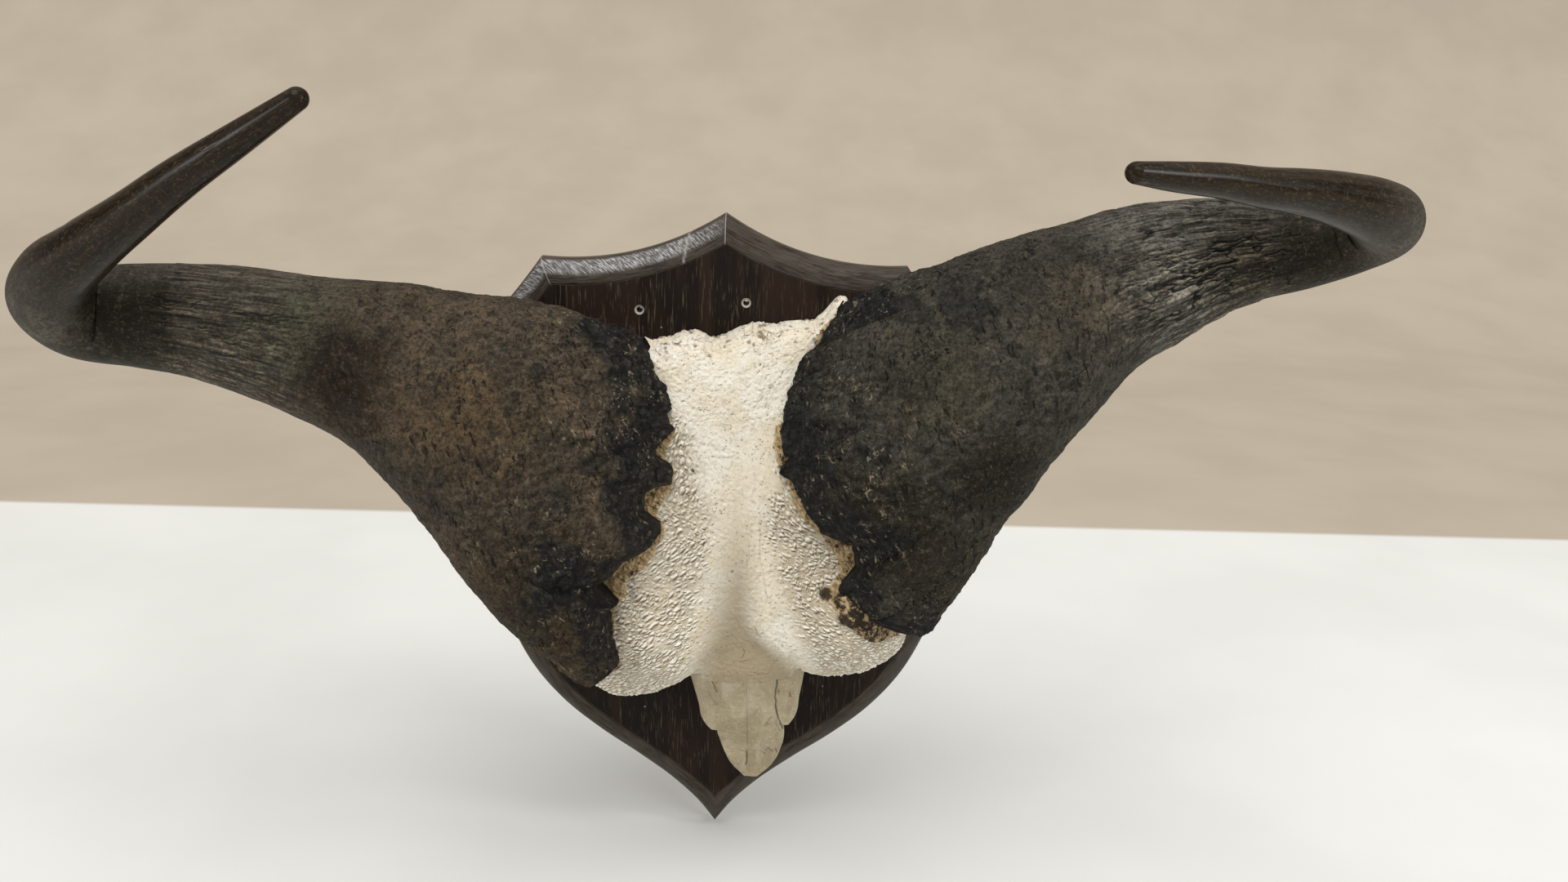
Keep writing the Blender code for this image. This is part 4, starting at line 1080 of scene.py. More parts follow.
def bank_pebbles(x, z):
    """Pebbled surface of the two banks, -1 to 1, and its coarser crust at the upper left."""
    left, right = bank_share(x, z)
    left_rows = pebbles(x, z, 0.50, 0.0058, 0.0030, 21)
    right_rows = pebbles(x, z, -0.50, 0.0052, 0.0028, 22)
    coarse = pebbles(x, z, 1.1, 0.0050, 0.0038, 23)
    upper = smooth_step(z, 0.045, 0.070)
    left_rows = left_rows * (1 - upper) + coarse * upper
    return left * left_rows + right * right_rows, coarse * upper * left


def under_sheath(x, z):
    """How far a point lies under a horn sheath, measured from where bare bone ends."""
    return np.maximum(by_height(LEFT_BARE_BONE, z) - x, x - by_height(RIGHT_BARE_BONE, z))


def fringe_share(x, z, points):
    """1 on the tan fringe of frayed horn beside the sheath edges, 0 on bare bone."""
    fray = 0.0016 * wander(points, 0.0050, 41, 3) + 0.0010 * wander(points, 0.0016, 42, 2)
    beyond = under_sheath(x, z) + fray
    return smooth_step(beyond, -0.0004, 0.0008) * (1 - smooth_step(beyond, 0.030, 0.040))


def char_share(x, z):
    """1 on the charred part of the fringe, below the right horn."""
    return smooth_step(x, 0.088, 0.098) * smooth_step(-z, 0.002, 0.012) * (1 - smooth_step(x, 0.128, 0.140))


def bone_relief(x, z, points, front):
    """Height of the bone's detail; front is 1 on the front face and 0 on the sides."""
    left, right = bank_share(x, z)
    rows, crust = bank_pebbles(x, z)
    strength = np.clip(0.95 + 0.7 * wander(points, 0.018, 24, 2), 0.35, 1.3) * front
    pebble = rows * strength
    smooth_middle = (1 - left) * (1 - right)
    grain = wander(points, 0.0030, 25, 3)
    upward = points + np.array([-0.0004, 0.0, 0.0008])
    slope = 0.95 * (rows - bank_pebbles(x - 0.0004, z + 0.0009)[0]) * strength
    grain_share = (0.30 + 0.35 * smooth_middle) * (1 - 0.75 * hollow_share(x, z)) * front
    shade = slope + grain_share * (grain - wander(upward, 0.0030, 25, 3))
    swell = wander(points, 0.014, 26, 3)
    height = 0.00075 * pebble + 0.00025 * grain * smooth_middle + 0.00025 * grain
    height += 0.0011 * swell * (0.4 + 0.6 * (left + right))
    stain = np.zeros_like(x)
    for line, width, darkness in BONE_CRACKS:
        stain = np.maximum(stain, darkness * groove(x + 0.0009 * grain, z, line, width))
    for pit_x, pit_z, radius, darkness in BONE_PITS:
        away = np.hypot(x - pit_x, z - pit_z) / radius
        stain = np.maximum(stain, darkness * smooth_step(1.25 - away - 0.5 * grain, 0.0, 0.7))
    height -= 0.0012 * stain + 0.0007 * groove(x, z, LOBE_FOOT, 0.0035)
    return height, pebble, shade, np.clip(stain, 0.0, 1.0) * front, crust * front, (left + right) * front


def visible_shares(inner, outline):
    """Share of each ray from the spine that lies on bare bone, for rays to the outline."""
    shares = np.linspace(0.0, 1.0, 80)[:, None]
    x = inner[:, 0] + (outline[:, 0] - inner[:, 0]) * shares
    z = inner[:, 1] + (outline[:, 1] - inner[:, 1]) * shares
    bare = (x > edge_x(LEFT_SHEATH_EDGE, z) - 0.006) & (x < edge_x(RIGHT_SHEATH_EDGE, z) + 0.006)
    covered = np.where(bare, 0.0, 1.0)
    first = np.where(covered.any(axis=0), np.argmax(covered, axis=0), len(shares) - 1)
    return np.clip(shares[first, 0], 0.2, 0.93)


def spine_foot(outline):
    """Point of the bone's spine from which the ray to each outline point starts."""
    top, bottom = np.array(FRONTAL_SPINE)
    along = np.clip((outline[:, 1] - top[1]) / (bottom[1] - top[1]), 0, 1)[:, None]
    return top + (bottom - top) * along


def make_frontal():
    """The frontal bone: rings from its spine out to the outline, then back to the shield."""
    closed = np.array(FRONTAL_OUTLINE + FRONTAL_OUTLINE[:1])
    knots = run_lengths(closed[:, :2])
    tried = np.linspace(0, knots[-1], 3000)
    tried_outline = smooth_curve(knots, closed, tried)
    density = visible_shares(spine_foot(tried_outline), tried_outline)
    amount = np.concatenate([[0.0], np.cumsum((density[1:] + density[:-1]) / 2)])
    around = np.interp(np.linspace(0, amount[-1], FRONTAL_COLUMNS + 1)[:-1], amount, tried)
    outline = smooth_curve(knots, closed, around)
    ragged = np.column_stack([outline[:, 0], np.zeros(len(outline)), outline[:, 1]])
    at_top = smooth_step(outline[:, 1], 0.150, 0.172)
    tears = 0.0034 * wander(ragged, 0.012, 31, 4) + 0.0012 * wander(ragged, 0.003, 32, 2)
    outline[:, 1] += np.minimum(tears, 0.0004) * at_top
    inner = spine_foot(outline)
    seen = circular_mean(visible_shares(inner, outline), round(FRONTAL_COLUMNS * 0.008))
    shown = np.linspace(0.0, 1.0, FRONTAL_ROWS)[:, None] ** 0.95
    hidden = np.linspace(0.0, 1.0, HIDDEN_ROWS + 1)[1:, None]
    shares = np.vstack([seen * shown, seen + (1 - seen) * hidden])
    plane = inner + (outline[:, :2] - inner) * shares[:, :, None]
    x, z = plane[..., 0], plane[..., 1]
    drop = np.clip((shares - FLAT_SHARE) / (1 - FLAT_SHARE), 0.0, 1.0)
    round_off = (1 - drop**2.2) ** (1 / 2.2)
    kept = outline[:, 2]
    hollow = hollow_share(x, z)
    full = frontal_depth(x, z) - by_height(HOLLOW_DEPTH, z) * hollow + BONE_BACK
    rise = full * (kept + (1 - kept) * round_off)
    (left_x, left_z), (right_x, right_z) = NASAL_ROOT
    root_z = left_z + (right_z - left_z) * (x - left_x) / (right_x - left_x)
    at_root = 1 - smooth_step(z - root_z, 0.0, 0.026)
    at_root *= smooth_step(x, left_x - 0.004, left_x + 0.012) * smooth_step(right_x + 0.004 - x, 0.0, 0.016)
    nasal_level = nasal_front(x, z) + 0.0002 + BONE_BACK
    rise = rise * (1 - at_root) + nasal_level * at_root
    front = np.stack([x, BONE_BACK - rise, z], axis=-1)
    back_shares = (np.arange(1, BONE_WALL_ROWS + 1) / BONE_WALL_ROWS)[:, None]
    wall = np.repeat(front[-1][None], BONE_WALL_ROWS, axis=0)
    wall[..., 1] = front[-1, :, 1] + (BONE_BACK - front[-1, :, 1]) * back_shares
    points = np.concatenate([front, wall])

    normals = grid_normals(points)
    normals *= -np.sign(normals[: len(front), :, 1].mean())
    x, z = points[..., 0], points[..., 2]
    on_front = np.concatenate([np.ones(front.shape[:2]), np.zeros(wall.shape[:2])])
    shown_bone = on_front * (1 - smooth_step(under_sheath(x, z), 0.016, 0.032))
    height, pebble, shade, stain, crust, bank = bone_relief(x, z, points, shown_bone)
    to_outline = np.hypot(*np.moveaxis(outline[:, :2] - plane, 2, 0))
    ledge = 0.0085 + 0.0060 * wander(ragged, 0.018, 36, 3)
    rim = smooth_step(ledge - to_outline, 0.0, 0.0012)
    broken = np.concatenate([rim, np.ones(wall.shape[:2])]) * at_top
    near, _ = cell_distances(points, 0.0040, 33)
    slope = np.concatenate([np.maximum(ledge - to_outline, 0.0), np.zeros(wall.shape[:2])])
    torn = 0.0022 * wander(points, 0.009, 34, 4) - 0.0012 * np.clip(1 - near * 1.8, 0, 1)
    torn -= 0.0008 + 0.30 * slope
    height = height * (1 - broken) + torn * broken
    fringe = fringe_share(x, z, points) * on_front
    layers = wander(points * np.array([1.0, 1.0, 0.55]), 0.0028, 35, 3)
    height = height * (1 - 0.8 * fringe) + fringe * (0.0012 + 0.0014 * layers)
    height[-1] = 0.0
    height = np.where(on_front > 0, height, np.minimum(height, 0.0))
    points = points + normals * height[..., None]
    points[..., 1] = np.minimum(points[..., 1], BONE_BACK)

    faces = grid_faces(len(points), FRONTAL_COLUMNS)
    last = (len(points) - 1) * FRONTAL_COLUMNS
    faces.append([last + i for i in range(FRONTAL_COLUMNS)])
    stained_and_shaded = hollow_share(x, z, 0.006) * on_front
    attributes = {
        "pebble": pebble * (1 - broken),
        "shade": shade * (1 - broken),
        # Painted shade: the right bank gets more of the darker bank colour than the left
        "bank": bank * (0.82 + 0.25 * smooth_step(x, 0.020, 0.070)),
        "char": char_share(x, z),
        "hollow": stained_and_shaded * by_height(HOLLOW_STAIN_AND_SHADE, z),
        "fringe": fringe,
        "crack": stain,
        "broken": broken,
        "crust": np.clip(-crust, 0.0, 1.0),
    }
    attributes = {label: values.ravel() for label, values in attributes.items()}
    piece = add_piece(
        "frontal_bone", points.reshape(-1, 3), faces, attributes, bone_look(), ["skull_frontal"]
    )
    weld(piece.data)
    return piece


def weld(mesh):
    """Joins points that lie on one another."""
    distance = 1e-5
    shape = bmesh.new()
    shape.from_mesh(mesh)
    bmesh.ops.remove_doubles(shape, verts=shape.verts, dist=distance)
    bmesh.ops.dissolve_degenerate(shape, edges=shape.edges, dist=distance)
    shape.to_mesh(mesh)
    shape.free()


# Nasal bones

# Cracks and sutures of the nasal bones: points x, z, then half width and darkness
NASAL_CRACKS = [
    ([(0.0516, -0.0860), (0.0506, -0.0990), (0.0499, -0.1116), (0.0512, -0.1230), (0.0525, -0.1315),
      (0.0572, -0.1470)], 0.0009, 1.0),
    ([(0.0525, -0.1315), (0.0515, -0.1400), (0.0560, -0.1500)], 0.0006, 0.4),
    ([(-0.0043, -0.0901), (-0.0013, -0.0985), (0.0019, -0.1073)], 0.0007, 0.85),
    ([(0.0042, -0.0884), (0.0024, -0.0941), (0.0006, -0.0992)], 0.0006, 0.5),
    ([(-0.0054, -0.1086), (-0.0035, -0.1138), (0.0006, -0.1193)], 0.0006, 0.45),
    ([(-0.0018, -0.1229), (0.0031, -0.1189)], 0.0006, 0.35),
    ([(0.0475, -0.1321), (0.0449, -0.1376), (0.0413, -0.1428)], 0.0008, 0.4),
    ([(0.0521, -0.1039), (0.0526, -0.1080)], 0.0009, 0.55),
    ([(0.0619, -0.1087), (0.0626, -0.1128)], 0.001, 0.7),
    ([(0.0436, -0.1689), (0.0463, -0.1665), (0.0498, -0.1717)], 0.0007, 0.6),
    ([(0.0519, -0.1686), (0.0534, -0.1725)], 0.0008, 0.7),
    ([(0.0357, -0.0918), (0.0376, -0.0956)], 0.0012, 0.45),
    ([(0.0223, -0.1687), (0.0254, -0.1700)], 0.0007, 0.45),
    ([(0.0265, -0.1000), (0.0272, -0.1300), (0.0280, -0.1680)], 0.0005, 0.25),
    ([(0.0275, -0.1700), (0.0281, -0.1770), (0.0276, -0.1850)], 0.0008, 0.9),
    ([(0.0230, -0.0930), (0.0236, -0.0960), (0.0228, -0.0985)], 0.0006, 0.6),
    ([(0.0400, -0.1700), (0.0440, -0.1740)], 0.0006, 0.4),
]


def seam_x(name, z):
    """Where a seam of the nasal bones lies at each height."""
    points = SEAMS[name][::-1]
    heights = [point[1] for point in points]
    across = np.array([[point[0]] for point in points])
    return smooth_curve(heights, across, np.clip(z.ravel(), heights[0], heights[-1]))[:, 0].reshape(z.shape)


def nasal_front(x, z):
    """Distance from the wall of the arched front of the nasal bones."""
    along = (NASAL_ROOT[0][1] - z) / (NASAL_ROOT[0][1] - NASAL_TIP_Z)
    ridge = NASAL_ROOT_FRONT + (NASAL_TIP_FRONT - NASAL_ROOT_FRONT) * along
    half_width = (NASAL_ROOT[1][0] - NASAL_ROOT[0][0]) / 2
    off_middle = (x - seam_x("middle", z)) / half_width
    return ridge - NASAL_ARCH * off_middle**2


def make_nasal(name, first_seam, second_seam, end_z, material):
    """One strip of the nasal arch between two seams."""
    (left_x, left_z), (right_x, right_z) = NASAL_ROOT
    across = np.linspace(0.0, 1.0, NASAL_COLUMNS + 1)[None, :]
    down = np.linspace(0.0, 1.0, NASAL_ROWS + 1)[:, None]
    root_start = seam_x(first_seam, np.array([left_z]))[0]
    root_end = seam_x(second_seam, np.array([right_z]))[0]
    root_x = root_start + (root_end - root_start) * across
    root_z = left_z + (right_z - left_z) * (root_x - left_x) / (right_x - left_x)
    z = root_z + (end_z - root_z) * down
    edge_in, edge_out = seam_x(first_seam, z), seam_x(second_seam, z)
    x = edge_in + (edge_out - edge_in) * across
    flat = np.stack([x, np.zeros_like(x), z], axis=-1)
    width = edge_out - edge_in
    free_edge = np.full_like(x, np.inf)
    sides = (first_seam, across * width, LEFT_STRIP_END), (second_seam, (1 - across) * width, RIGHT_STRIP_END)
    for seam, reach, strip_end in sides:
        if seam.startswith("outer"):
            free_edge = np.minimum(free_edge, reach)
        elif seam != "middle" and end_z == NASAL_TIP_Z:
            free_edge = np.minimum(free_edge, reach + 0.05 * smooth_step(z, *strip_end))
    free_edge = np.minimum(free_edge, z - end_z)
    radius = NASAL_EDGE_RADIUS
    inside = np.clip(radius - free_edge, 0.0, radius)
    rounding = radius - np.sqrt(radius**2 - inside**2)
    crack = np.zeros_like(x)
    uneven = 0.0007 * wander(flat, 0.0060, NASAL_SEED, 2)
    for line, line_width, darkness in NASAL_CRACKS:
        crack = np.maximum(crack, darkness * groove(x + uneven, z, line, line_width))
    relief = 0.0012 * wander(flat, 0.022, NASAL_SEED, 3)
    relief += 0.00030 * wander(flat, 0.0034, NASAL_SEED + 1, 3)
    relief += 0.0002 * wander(flat * np.array([1.0, 1.0, 0.1]), 0.0018, NASAL_SEED + 2, 2)
    relief *= smooth_step(root_z - z, 0.002, 0.012)
    front_depth = nasal_front(x, z) + np.minimum(relief, 0.0012) - rounding - 0.0012 * crack
    back_depth = nasal_front(x, z) - NASAL_THICKNESS + rounding * 0.5
    front = np.stack([x, -front_depth, z], axis=-1)
    back = np.stack([x, -back_depth, z], axis=-1)[:, ::-1]
    rings = np.concatenate([front, back], axis=1)
    count = rings.shape[1]
    faces = grid_faces(len(rings), count)
    for start in (0, (len(rings) - 1) * count):
        for i in range(NASAL_COLUMNS):
            faces.append([start + i, start + i + 1, start + count - i - 2, start + count - i - 1])
    root = 1 - smooth_step(root_z - z, 0.0, 0.030)
    none = np.zeros_like(crack)
    attributes = {
        "crack": np.concatenate([crack, none], axis=1).ravel(),
        "root": np.concatenate([root, none], axis=1).ravel(),
    }
    return add_piece(
        name + "_bone", rings.reshape(-1, 3), faces, attributes, material, [name]
    )


# Shield


def arc_between(start, end, sag, count):
    """Points after start up to end on a shallow arc that dips by sag to the chord's right."""
    start, end = np.array(start), np.array(end)
    chord = end - start
    right = np.array([chord[1], -chord[0]]) / np.linalg.norm(chord)
    shares = np.arange(1, count + 1) / count
    return [tuple(start + chord * u + right * sag * 4 * u * (1 - u)) for u in shares]


def beside(run, distance):
    """Moves an open line of points to its right by a distance."""
    ways = np.gradient(run, axis=0)
    ways /= np.linalg.norm(ways, axis=1)[:, None]
    return run + distance * np.column_stack([ways[:, 1], -ways[:, 0]])


def trimmed(first, second):
    """Cuts two lines of points where they cross, first after and second before the crossing."""
    start, step = first[:-1, None], np.diff(first, axis=0)[:, None]
    other, stride = second[None, :-1], np.diff(second, axis=0)[None]
    gap = other - start
    across = step[..., 0] * stride[..., 1] - step[..., 1] * stride[..., 0]
    share = (gap[..., 0] * stride[..., 1] - gap[..., 1] * stride[..., 0]) / across
    other_share = (gap[..., 0] * step[..., 1] - gap[..., 1] * step[..., 0]) / across
    slack = 1e-6
    hits = (share > -slack) & (share < 1 + slack) & (other_share > -slack) & (other_share < 1 + slack)
    i, j = np.argwhere(hits)[0]
    point = first[i] + share[i, j] * (first[i + 1] - first[i])
    return np.vstack([first[:i + 1], point]), np.vstack([point, second[j + 1:]])


def from_corner_to_corner(run, count):
    """Reads a line again at even steps, with one more point close to each end."""
    lengths = run_lengths(run)
    places = np.linspace(0, lengths[-1], count - 2)
    places = np.concatenate([[0.0, 0.0006], places[1:-1], [lengths[-1] - 0.0006, lengths[-1]]])
    return np.column_stack([np.interp(places, lengths, axis) for axis in run.T])


def inset(distance):
    """The shield's outline moved inwards, clockwise from the peak, with mitred corners."""
    lengths = run_lengths(SIDE_TO_TIP)
    side = smooth_curve(lengths, SIDE_TO_TIP, np.linspace(0, lengths[-1], SIDE_SAMPLES))
    top = np.array([PEAK] + arc_between(PEAK, SHOULDER, SHOULDER_ARC_SAG, SHOULDER_SAMPLES))
    corner = np.array([SHOULDER] + arc_between(SHOULDER, CORNER, CORNER_ARC_SAG, CORNER_SAMPLES))
    middle = np.array([(0.0, PEAK[1] + 0.1), (0.0, -PEAK[1] - 0.1)])
    top, corner, side = (beside(run, distance) for run in (top, corner, side))
    top, corner = trimmed(top, corner)
    corner, side = trimmed(corner, side)
    if distance > 0:
        _, top = trimmed(middle, top)
        side, _ = trimmed(side, middle)
    runs = (top, SHOULDER_SAMPLES), (corner, CORNER_SAMPLES), (side, SIDE_SAMPLES)
    top, corner, side = (from_corner_to_corner(run, count + 1) for run, count in runs)
    half = np.vstack([top, corner[1:], side[1:]])
    half[[0, -1], 0] = 0.0
    return np.vstack([half, half[-2:0:-1] * (-1, 1)])


# Painted sheen on the top moulding, x and how strong: a silvery highlight on the upper left of its roll
PAINTED_SHEEN_ZONE = [(-0.175, 0.55), (-0.150, 0.75), (-0.120, 1.0), (-0.040, 0.9), (-0.006, 0.45), (0.0, 0.05)]
JOINT_X = -0.0305


def make_shield():
    """The board: thin rim, quarter round, a fine quirk and the flat field with its holes."""
    levels = [(0.0, 0.0), (0.0006, -0.0006), (0.0, -0.0012), (0.0, -RIM_DEPTH + 0.0006), (0.0004, -RIM_DEPTH)]
    rise = SHIELD_DEPTH - RIM_DEPTH
    for step in range(1, MOULDING_STEPS + 1):
        turn = pi / 2 * step / MOULDING_STEPS
        levels.append((MOULDING_WIDTH * (1 - cos(turn)), -RIM_DEPTH - rise * sin(turn)))
    levels += [
        (MOULDING_WIDTH + 0.0004, -SHIELD_DEPTH + 0.0007),
        (MOULDING_WIDTH + 0.0009, -SHIELD_DEPTH + 0.0007),
        (MOULDING_WIDTH + 0.0013, -SHIELD_DEPTH),
        (MOULDING_WIDTH + 0.0020, -SHIELD_DEPTH),
    ]
    rings = []
    for distance, y in levels:
        plane = inset(distance)
        rings.append(np.column_stack([plane[:, 0], np.full(len(plane), y), plane[:, 1]]))
    rings = np.stack(rings)
    count = rings.shape[1]
    lengths = run_lengths(np.vstack([rings[0], rings[0][:1]]))[:-1]
    across = run_lengths(levels)
    grain = np.stack([
        np.repeat(across[:, None], count, axis=1),
        np.repeat(lengths[None], len(levels), axis=0),
        np.zeros(rings.shape[:2]),
    ], axis=-1)
    moulding = np.ones(rings.shape[:2])
    moulding[-2:] = 0.0
    at_top = smooth_step(rings[..., 2], 0.165, 0.185)
    # The painted sheen lies on the band of the roll that faces up to the light
    facing_up = smooth_step(grain[..., 0], 0.012, 0.016) * (1 - smooth_step(grain[..., 0], 0.025, 0.030))
    painted_sheen = by_height(PAINTED_SHEEN_ZONE, rings[..., 0]) * at_top * (rings[..., 0] < 0.0) * facing_up
    rim = 1 - smooth_step(grain[..., 0], 0.006, 0.010)
    faces = grid_faces(len(rings), count)
    faces.append(list(range(count)))
    faces.append(list(range((len(rings) - 1) * count, len(rings) * count)))
    slant = JOINT_X + 0.15 * (0.020 - grain[..., 0])
    joint_and_crease_highlight = 0.8 * np.clip(1 - np.abs(rings[..., 0] - slant) / 0.0013, 0.0, 1.0) * at_top
    # Painted highlight along the mitre crease at the peak, and fainter at the left shoulder
    joint_and_crease_highlight[:, 0] = 1.0
    joint_and_crease_highlight[:, -SHOULDER_SAMPLES] = 0.6
    joint_and_crease_highlight *= moulding
    attributes = {
        "grain": grain.reshape(-1, 3),
        "moulding": moulding.ravel(),
        "painted_sheen": painted_sheen.ravel(),
        "joint_and_crease_highlight": joint_and_crease_highlight.ravel(),
        "rim": rim.ravel(),
    }
    board = add_piece("oak_shield", rings.reshape(-1, 3), faces, attributes, oak_look(), ["plaque"])
    for x, z in SCREW_HOLES:
        drill(board, x, z)
    board.data.set_sharp_from_angle(angle=0.6)
    return board


def drill(board, x, z):
    """Cuts a countersunk screw hole right through the board."""
    sink = COUNTERSINK_RADIUS - SCREW_HOLE_RADIUS
    turns = 2 * pi * np.arange(SCREW_HOLE_SIDES) / SCREW_HOLE_SIDES
    shape = bmesh.new()
    rings = []
    for radius, y in (
        (SCREW_HOLE_RADIUS, 0.01),
        (SCREW_HOLE_RADIUS, -SHIELD_DEPTH + sink),
        (COUNTERSINK_RADIUS, -SHIELD_DEPTH),
        (COUNTERSINK_RADIUS, -SHIELD_DEPTH - 0.01),
    ):
        rings.append([shape.verts.new((x + radius * cos(t), y, z + radius * sin(t))) for t in turns])
    for ring, following in zip(rings, rings[1:]):
        for i in range(SCREW_HOLE_SIDES):
            j = (i + 1) % SCREW_HOLE_SIDES
            shape.faces.new((ring[i], ring[j], following[j], following[i]))
    shape.faces.new(rings[0])
    shape.faces.new(rings[-1])
    bmesh.ops.recalc_face_normals(shape, faces=shape.faces)
    mesh = bpy.data.meshes.new("screw_hole")
    shape.to_mesh(mesh)
    shape.free()
    cutter = bpy.data.objects.new("screw_hole", mesh)
    bpy.context.scene.collection.objects.link(cutter)
    modifier = board.modifiers.new("screw_hole", "BOOLEAN")
    modifier.solver = "EXACT"
    modifier.object = cutter
    evaluated = board.evaluated_get(bpy.context.evaluated_depsgraph_get())
    cut = bpy.data.meshes.new_from_object(evaluated)
    corners = np.empty(3 * len(cut.vertices))
    cut.vertices.foreach_get("co", corners)
    near = np.hypot(corners[0::3] - x, corners[2::3] - z) < 2 * COUNTERSINK_RADIUS
    for label in ("moulding", "rim"):
        values = np.empty(len(near))
        cut.attributes[label].data.foreach_get("value", values)
        cut.attributes[label].data.foreach_set("value", np.where(near, 0.0, values))
    board.modifiers.clear()
    board.data = cut
    bpy.data.objects.remove(cutter)


# Stage, light and camera

CAMERA_PLACE = Vector((0.0294, -1.0200, 0.3576))
CAMERA_RIGHT = Vector((0.9994, -0.0144, 0.0309))
CAMERA_UP = Vector((-0.026, 0.2593, 0.9654))
CAMERA_FORWARD = Vector((0.02186, 0.96568, -0.25882))
SENSOR_WIDTH = 36.0
FOCAL_LENGTH = 28.5


def add_camera():
    data = bpy.data.cameras.new("camera")
    data.sensor_width = SENSOR_WIDTH
    data.lens = FOCAL_LENGTH
    data.clip_start = 0.01
    camera = bpy.data.objects.new("camera", data)
    turn = Matrix((CAMERA_RIGHT, CAMERA_UP, -CAMERA_FORWARD)).transposed().to_4x4()
    camera.matrix_world = Matrix.Translation(CAMERA_PLACE) @ turn
    bpy.context.scene.collection.objects.link(camera)
    bpy.context.scene.camera = camera


def add_light(name, place, aim, size, power, colour):
    data = bpy.data.lights.new(name, "AREA")
    data.shape = "RECTANGLE"
    data.size, data.size_y = size
    data.energy = power
    data.color = colour
    light = bpy.data.objects.new(name, data)
    way = Vector(aim) - Vector(place)
    light.matrix_world = Matrix.Translation(place) @ way.to_track_quat("-Z", "Y").to_matrix().to_4x4()
    bpy.context.scene.collection.objects.link(light)


FLOOR_Z = -SHIELD_HEIGHT / 2 - 0.003
WHITE_FLOOR_END = 0.86
SWEEP_FRONT = -9.0
SWEEP_END = 2.2
SWEEP_RADIUS = 3.0
SWEEP_STEPS = 24
SWEEP_TOP = 6.0
SWEEP_HALF_WIDTH = 9.0


def add_sun(name, energy, angle, way, colour):
    data = bpy.data.lights.new(name, "SUN")
    data.energy = energy
    data.angle = angle
    data.color = colour
    sun = bpy.data.objects.new(name, data)
    sun.matrix_world = Vector(way).to_track_quat("-Z", "Y").to_matrix().to_4x4()
    bpy.context.scene.collection.objects.link(sun)


def add_stage():
    """A pale sweep, white round the object and warmer beyond, under soft light from above."""
    look = Look("paper sweep", 0.7)
    split = look.tree.nodes.new("ShaderNodeSeparateXYZ")
    look.set(split.inputs[0], look.place)
    share = look.ramp(split.outputs["Y"], WHITE_FLOOR_END - 0.01, WHITE_FLOOR_END + 0.01)
    soft = look.noise(look.place, 3.0, 3.0)
    white = look.mix(look.ramp(soft, 0.3, 0.7), (0.640, 0.650, 0.640), (0.680, 0.690, 0.680))
    beige = look.mix(look.ramp(soft, 0.3, 0.7), (0.395, 0.345, 0.280), (0.430, 0.378, 0.308))
    material = look.finish(look.mix(share, white, beige), 0.8, look.bump(soft, 0.0002, 0.2))
    look.shader.inputs["Specular IOR Level"].default_value = 0.2
    turns = pi / 2 * np.arange(SWEEP_STEPS + 1) / SWEEP_STEPS
    profile = [(SWEEP_FRONT, FLOOR_Z)]
    for t in turns:
        profile.append((SWEEP_END + SWEEP_RADIUS * sin(t), FLOOR_Z + SWEEP_RADIUS * (1 - cos(t))))
    profile.append((SWEEP_END + SWEEP_RADIUS, SWEEP_TOP))
    corners = [(x, y, z) for y, z in profile for x in (-SWEEP_HALF_WIDTH, SWEEP_HALF_WIDTH)]
    faces = [(2 * i, 2 * i + 1, 2 * i + 3, 2 * i + 2) for i in range(len(profile) - 1)]
    mesh = bpy.data.meshes.new("sweep")
    mesh.from_pydata(corners, [], faces)
    mesh.shade_smooth()
    mesh.materials.append(material)
    sweep = bpy.data.objects.new("sweep", mesh)
    bpy.context.scene.collection.objects.link(sweep)
    world = bpy.data.worlds.new("studio")
    world.use_nodes = True
    background = world.node_tree.nodes["Background"]
    background.inputs["Color"].default_value = (1.0, 0.97, 0.92, 1.0)
    background.inputs["Strength"].default_value = 0.14
    bpy.context.scene.world = world
    add_sun("overhead", 1.8, 0.80, (0.02, 0.46, -1.0), (1.0, 0.98, 0.95))
    add_sun("ceiling", 1.8, 2.3, (0.02, 0.40, -1.0), (1.0, 0.97, 0.93))
    add_light("left_strip", (-1.62, -0.94, 0.36), (-0.31, -0.23, 0.32), (0.30, 0.30), 4.5, (0.96, 0.98, 1.0))
    add_light("right_strip", (1.60, -0.80, 0.80), (0.28, -0.26, 0.33), (0.30, 0.30), 8.0, (0.96, 0.98, 1.0))
    bpy.context.scene.view_settings.view_transform = "Standard"


LEFT_SHAPE = {
    "stations": LEFT_HORN,
    "side": 1,
    "edge": LEFT_SHEATH_EDGE,
    "edge_depth": LEFT_EDGE_DEPTH,
    "spots": LEFT_SPOTS,
    "flakes": LEFT_FLAKES,
    "cracked": 0.45,
}
RIGHT_SHAPE = {
    "stations": RIGHT_HORN,
    "side": -1,
    "edge": RIGHT_SHEATH_EDGE,
    "edge_depth": RIGHT_EDGE_DEPTH,
    "spots": RIGHT_SPOTS,
    "flakes": RIGHT_FLAKES,
    "cracked": 1.0,
}
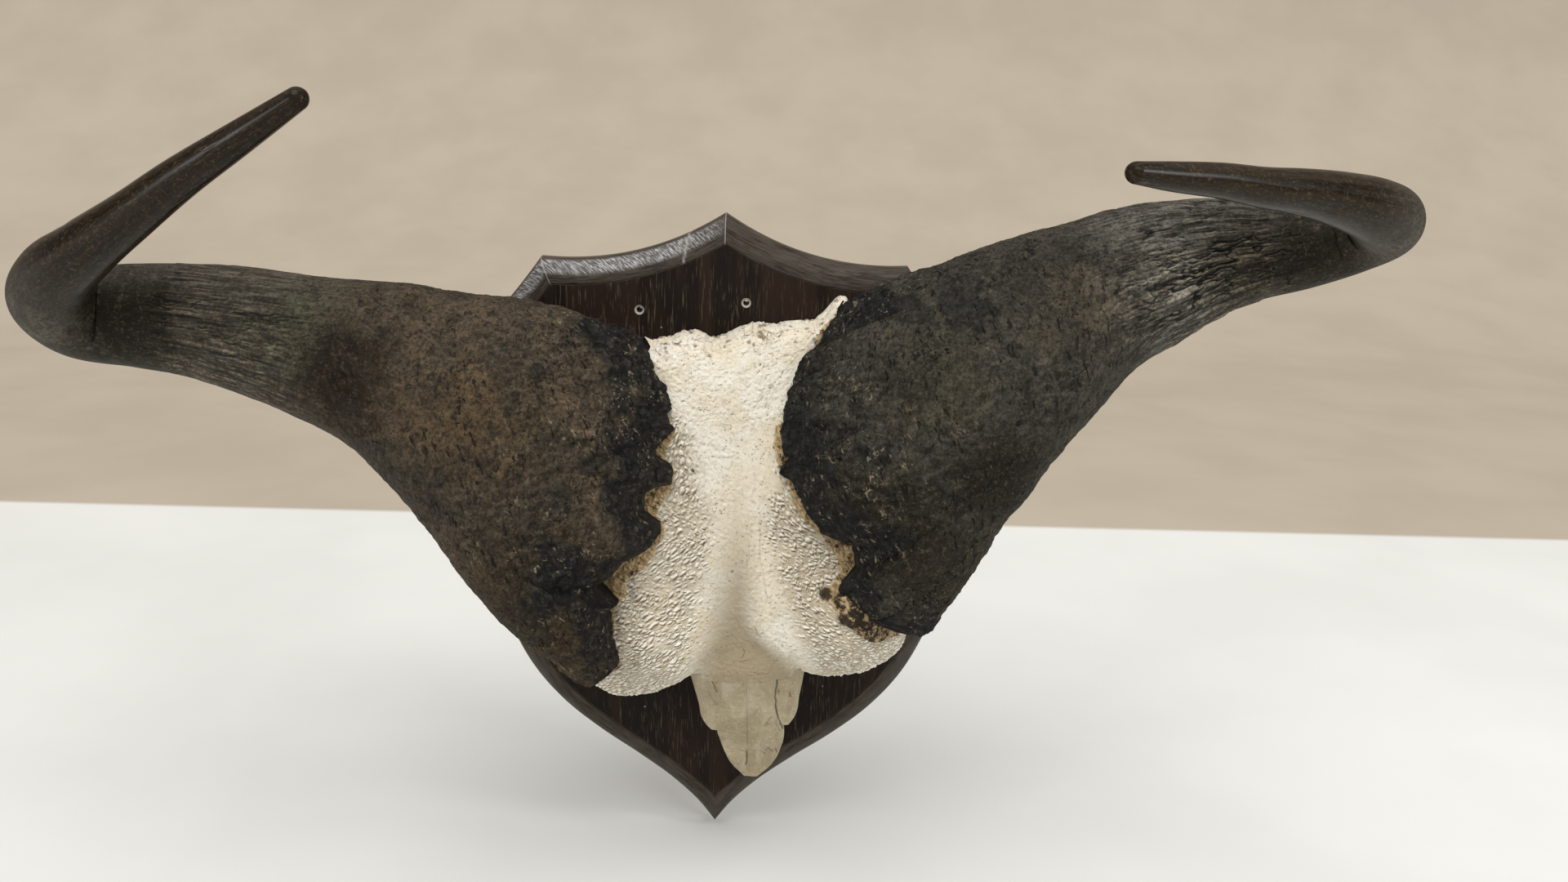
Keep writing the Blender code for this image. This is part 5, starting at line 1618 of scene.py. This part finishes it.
# Tints on the horns, the horn's own colour save where marked below: centre, reach and the factors that they
# multiply the colour by
LEFT_TINTS_AND_PAINTED_LIGHT = [
    ((-0.168, -0.162, 0.132), 0.060, (1.05, 0.95, 0.80)),
    # Painted shade in the soft hollow between the left boss and its shaft
    ((-0.268, -0.140, 0.158), 0.042, (0.20, 0.15, 0.08)),
    ((-0.300, -0.130, 0.195), 0.040, (0.90, 1.02, 0.92)),
    # Painted shadow under the left hook, inside its bend
    ((-0.434, -0.112, 0.192), 0.048, (0.20, 0.165, 0.11)),
    # The hook's inner edge at the bend painted pale: partly greyer horn, partly a painted highlight
    ((-0.480, -0.130, 0.197), 0.026, (2.20, 2.30, 2.30)),
    # Darker on the lower boss
    ((-0.130, -0.170, 0.010), 0.060, (0.66, 0.61, 0.53)),
    ((-0.100, -0.160, -0.050), 0.045, (0.76, 0.71, 0.61)),
]
RIGHT_TINTS_AND_PAINTED_LIGHT = [
    ((0.245, -0.135, 0.222), 0.050, (1.12, 1.04, 0.93)),
    ((0.155, -0.165, 0.175), 0.045, (1.04, 1.00, 0.86)),
    # Painted shade in the soft hollow on the right boss
    ((0.202, -0.160, 0.106), 0.040, (0.28, 0.25, 0.20)),
    # Lighter on the shaft
    ((0.298, -0.125, 0.250), 0.045, (1.45, 1.45, 1.45)),
    # Darker along the shaft before the bend
    ((0.390, -0.112, 0.256), 0.046, (0.52, 0.48, 0.41)),
    # Painted shadow under the right hook, inside its bend
    ((0.440, -0.105, 0.268), 0.046, (0.32, 0.27, 0.21)),
    # The hook's lower edge at the bend painted pale: partly greyer horn, partly a painted highlight
    ((0.472, -0.128, 0.284), 0.028, (2.10, 2.10, 2.10)),
    # Darker on the lower boss
    ((0.120, -0.160, 0.060), 0.060, (0.50, 0.46, 0.38)),
    ((0.170, -0.160, 0.030), 0.050, (0.60, 0.55, 0.45)),
]


def main():
    add_camera()
    add_stage()
    make_shield()
    make_frontal()
    nasal = nasal_look()
    make_nasal("maxilla_left", "outer_left", "left", -0.150, nasal)
    make_nasal("nasal_left", "left", "middle", NASAL_TIP_Z, nasal)
    make_nasal("nasal_right", "middle", "right", NASAL_TIP_Z, nasal)
    make_nasal("maxilla_right", "right", "outer_right", -0.144, nasal)
    brown = horn_look(
        "brown horn",
        ((0.112, 0.083, 0.053), (0.070, 0.056, 0.039)),
        ((0.034, 0.028, 0.019), (0.110, 0.097, 0.074)),
        LEFT_TINTS_AND_PAINTED_LIGHT,
        0.0,
    )
    grey = horn_look(
        "grey horn",
        ((0.052, 0.049, 0.039), (0.080, 0.072, 0.056)),
        ((0.028, 0.026, 0.021), (0.140, 0.132, 0.112)),
        RIGHT_TINTS_AND_PAINTED_LIGHT,
        0.02,
    )
    make_horn("left_sheath", LEFT_SHAPE, 100, brown)
    make_horn("right_sheath", RIGHT_SHAPE, 200, grey)


main()
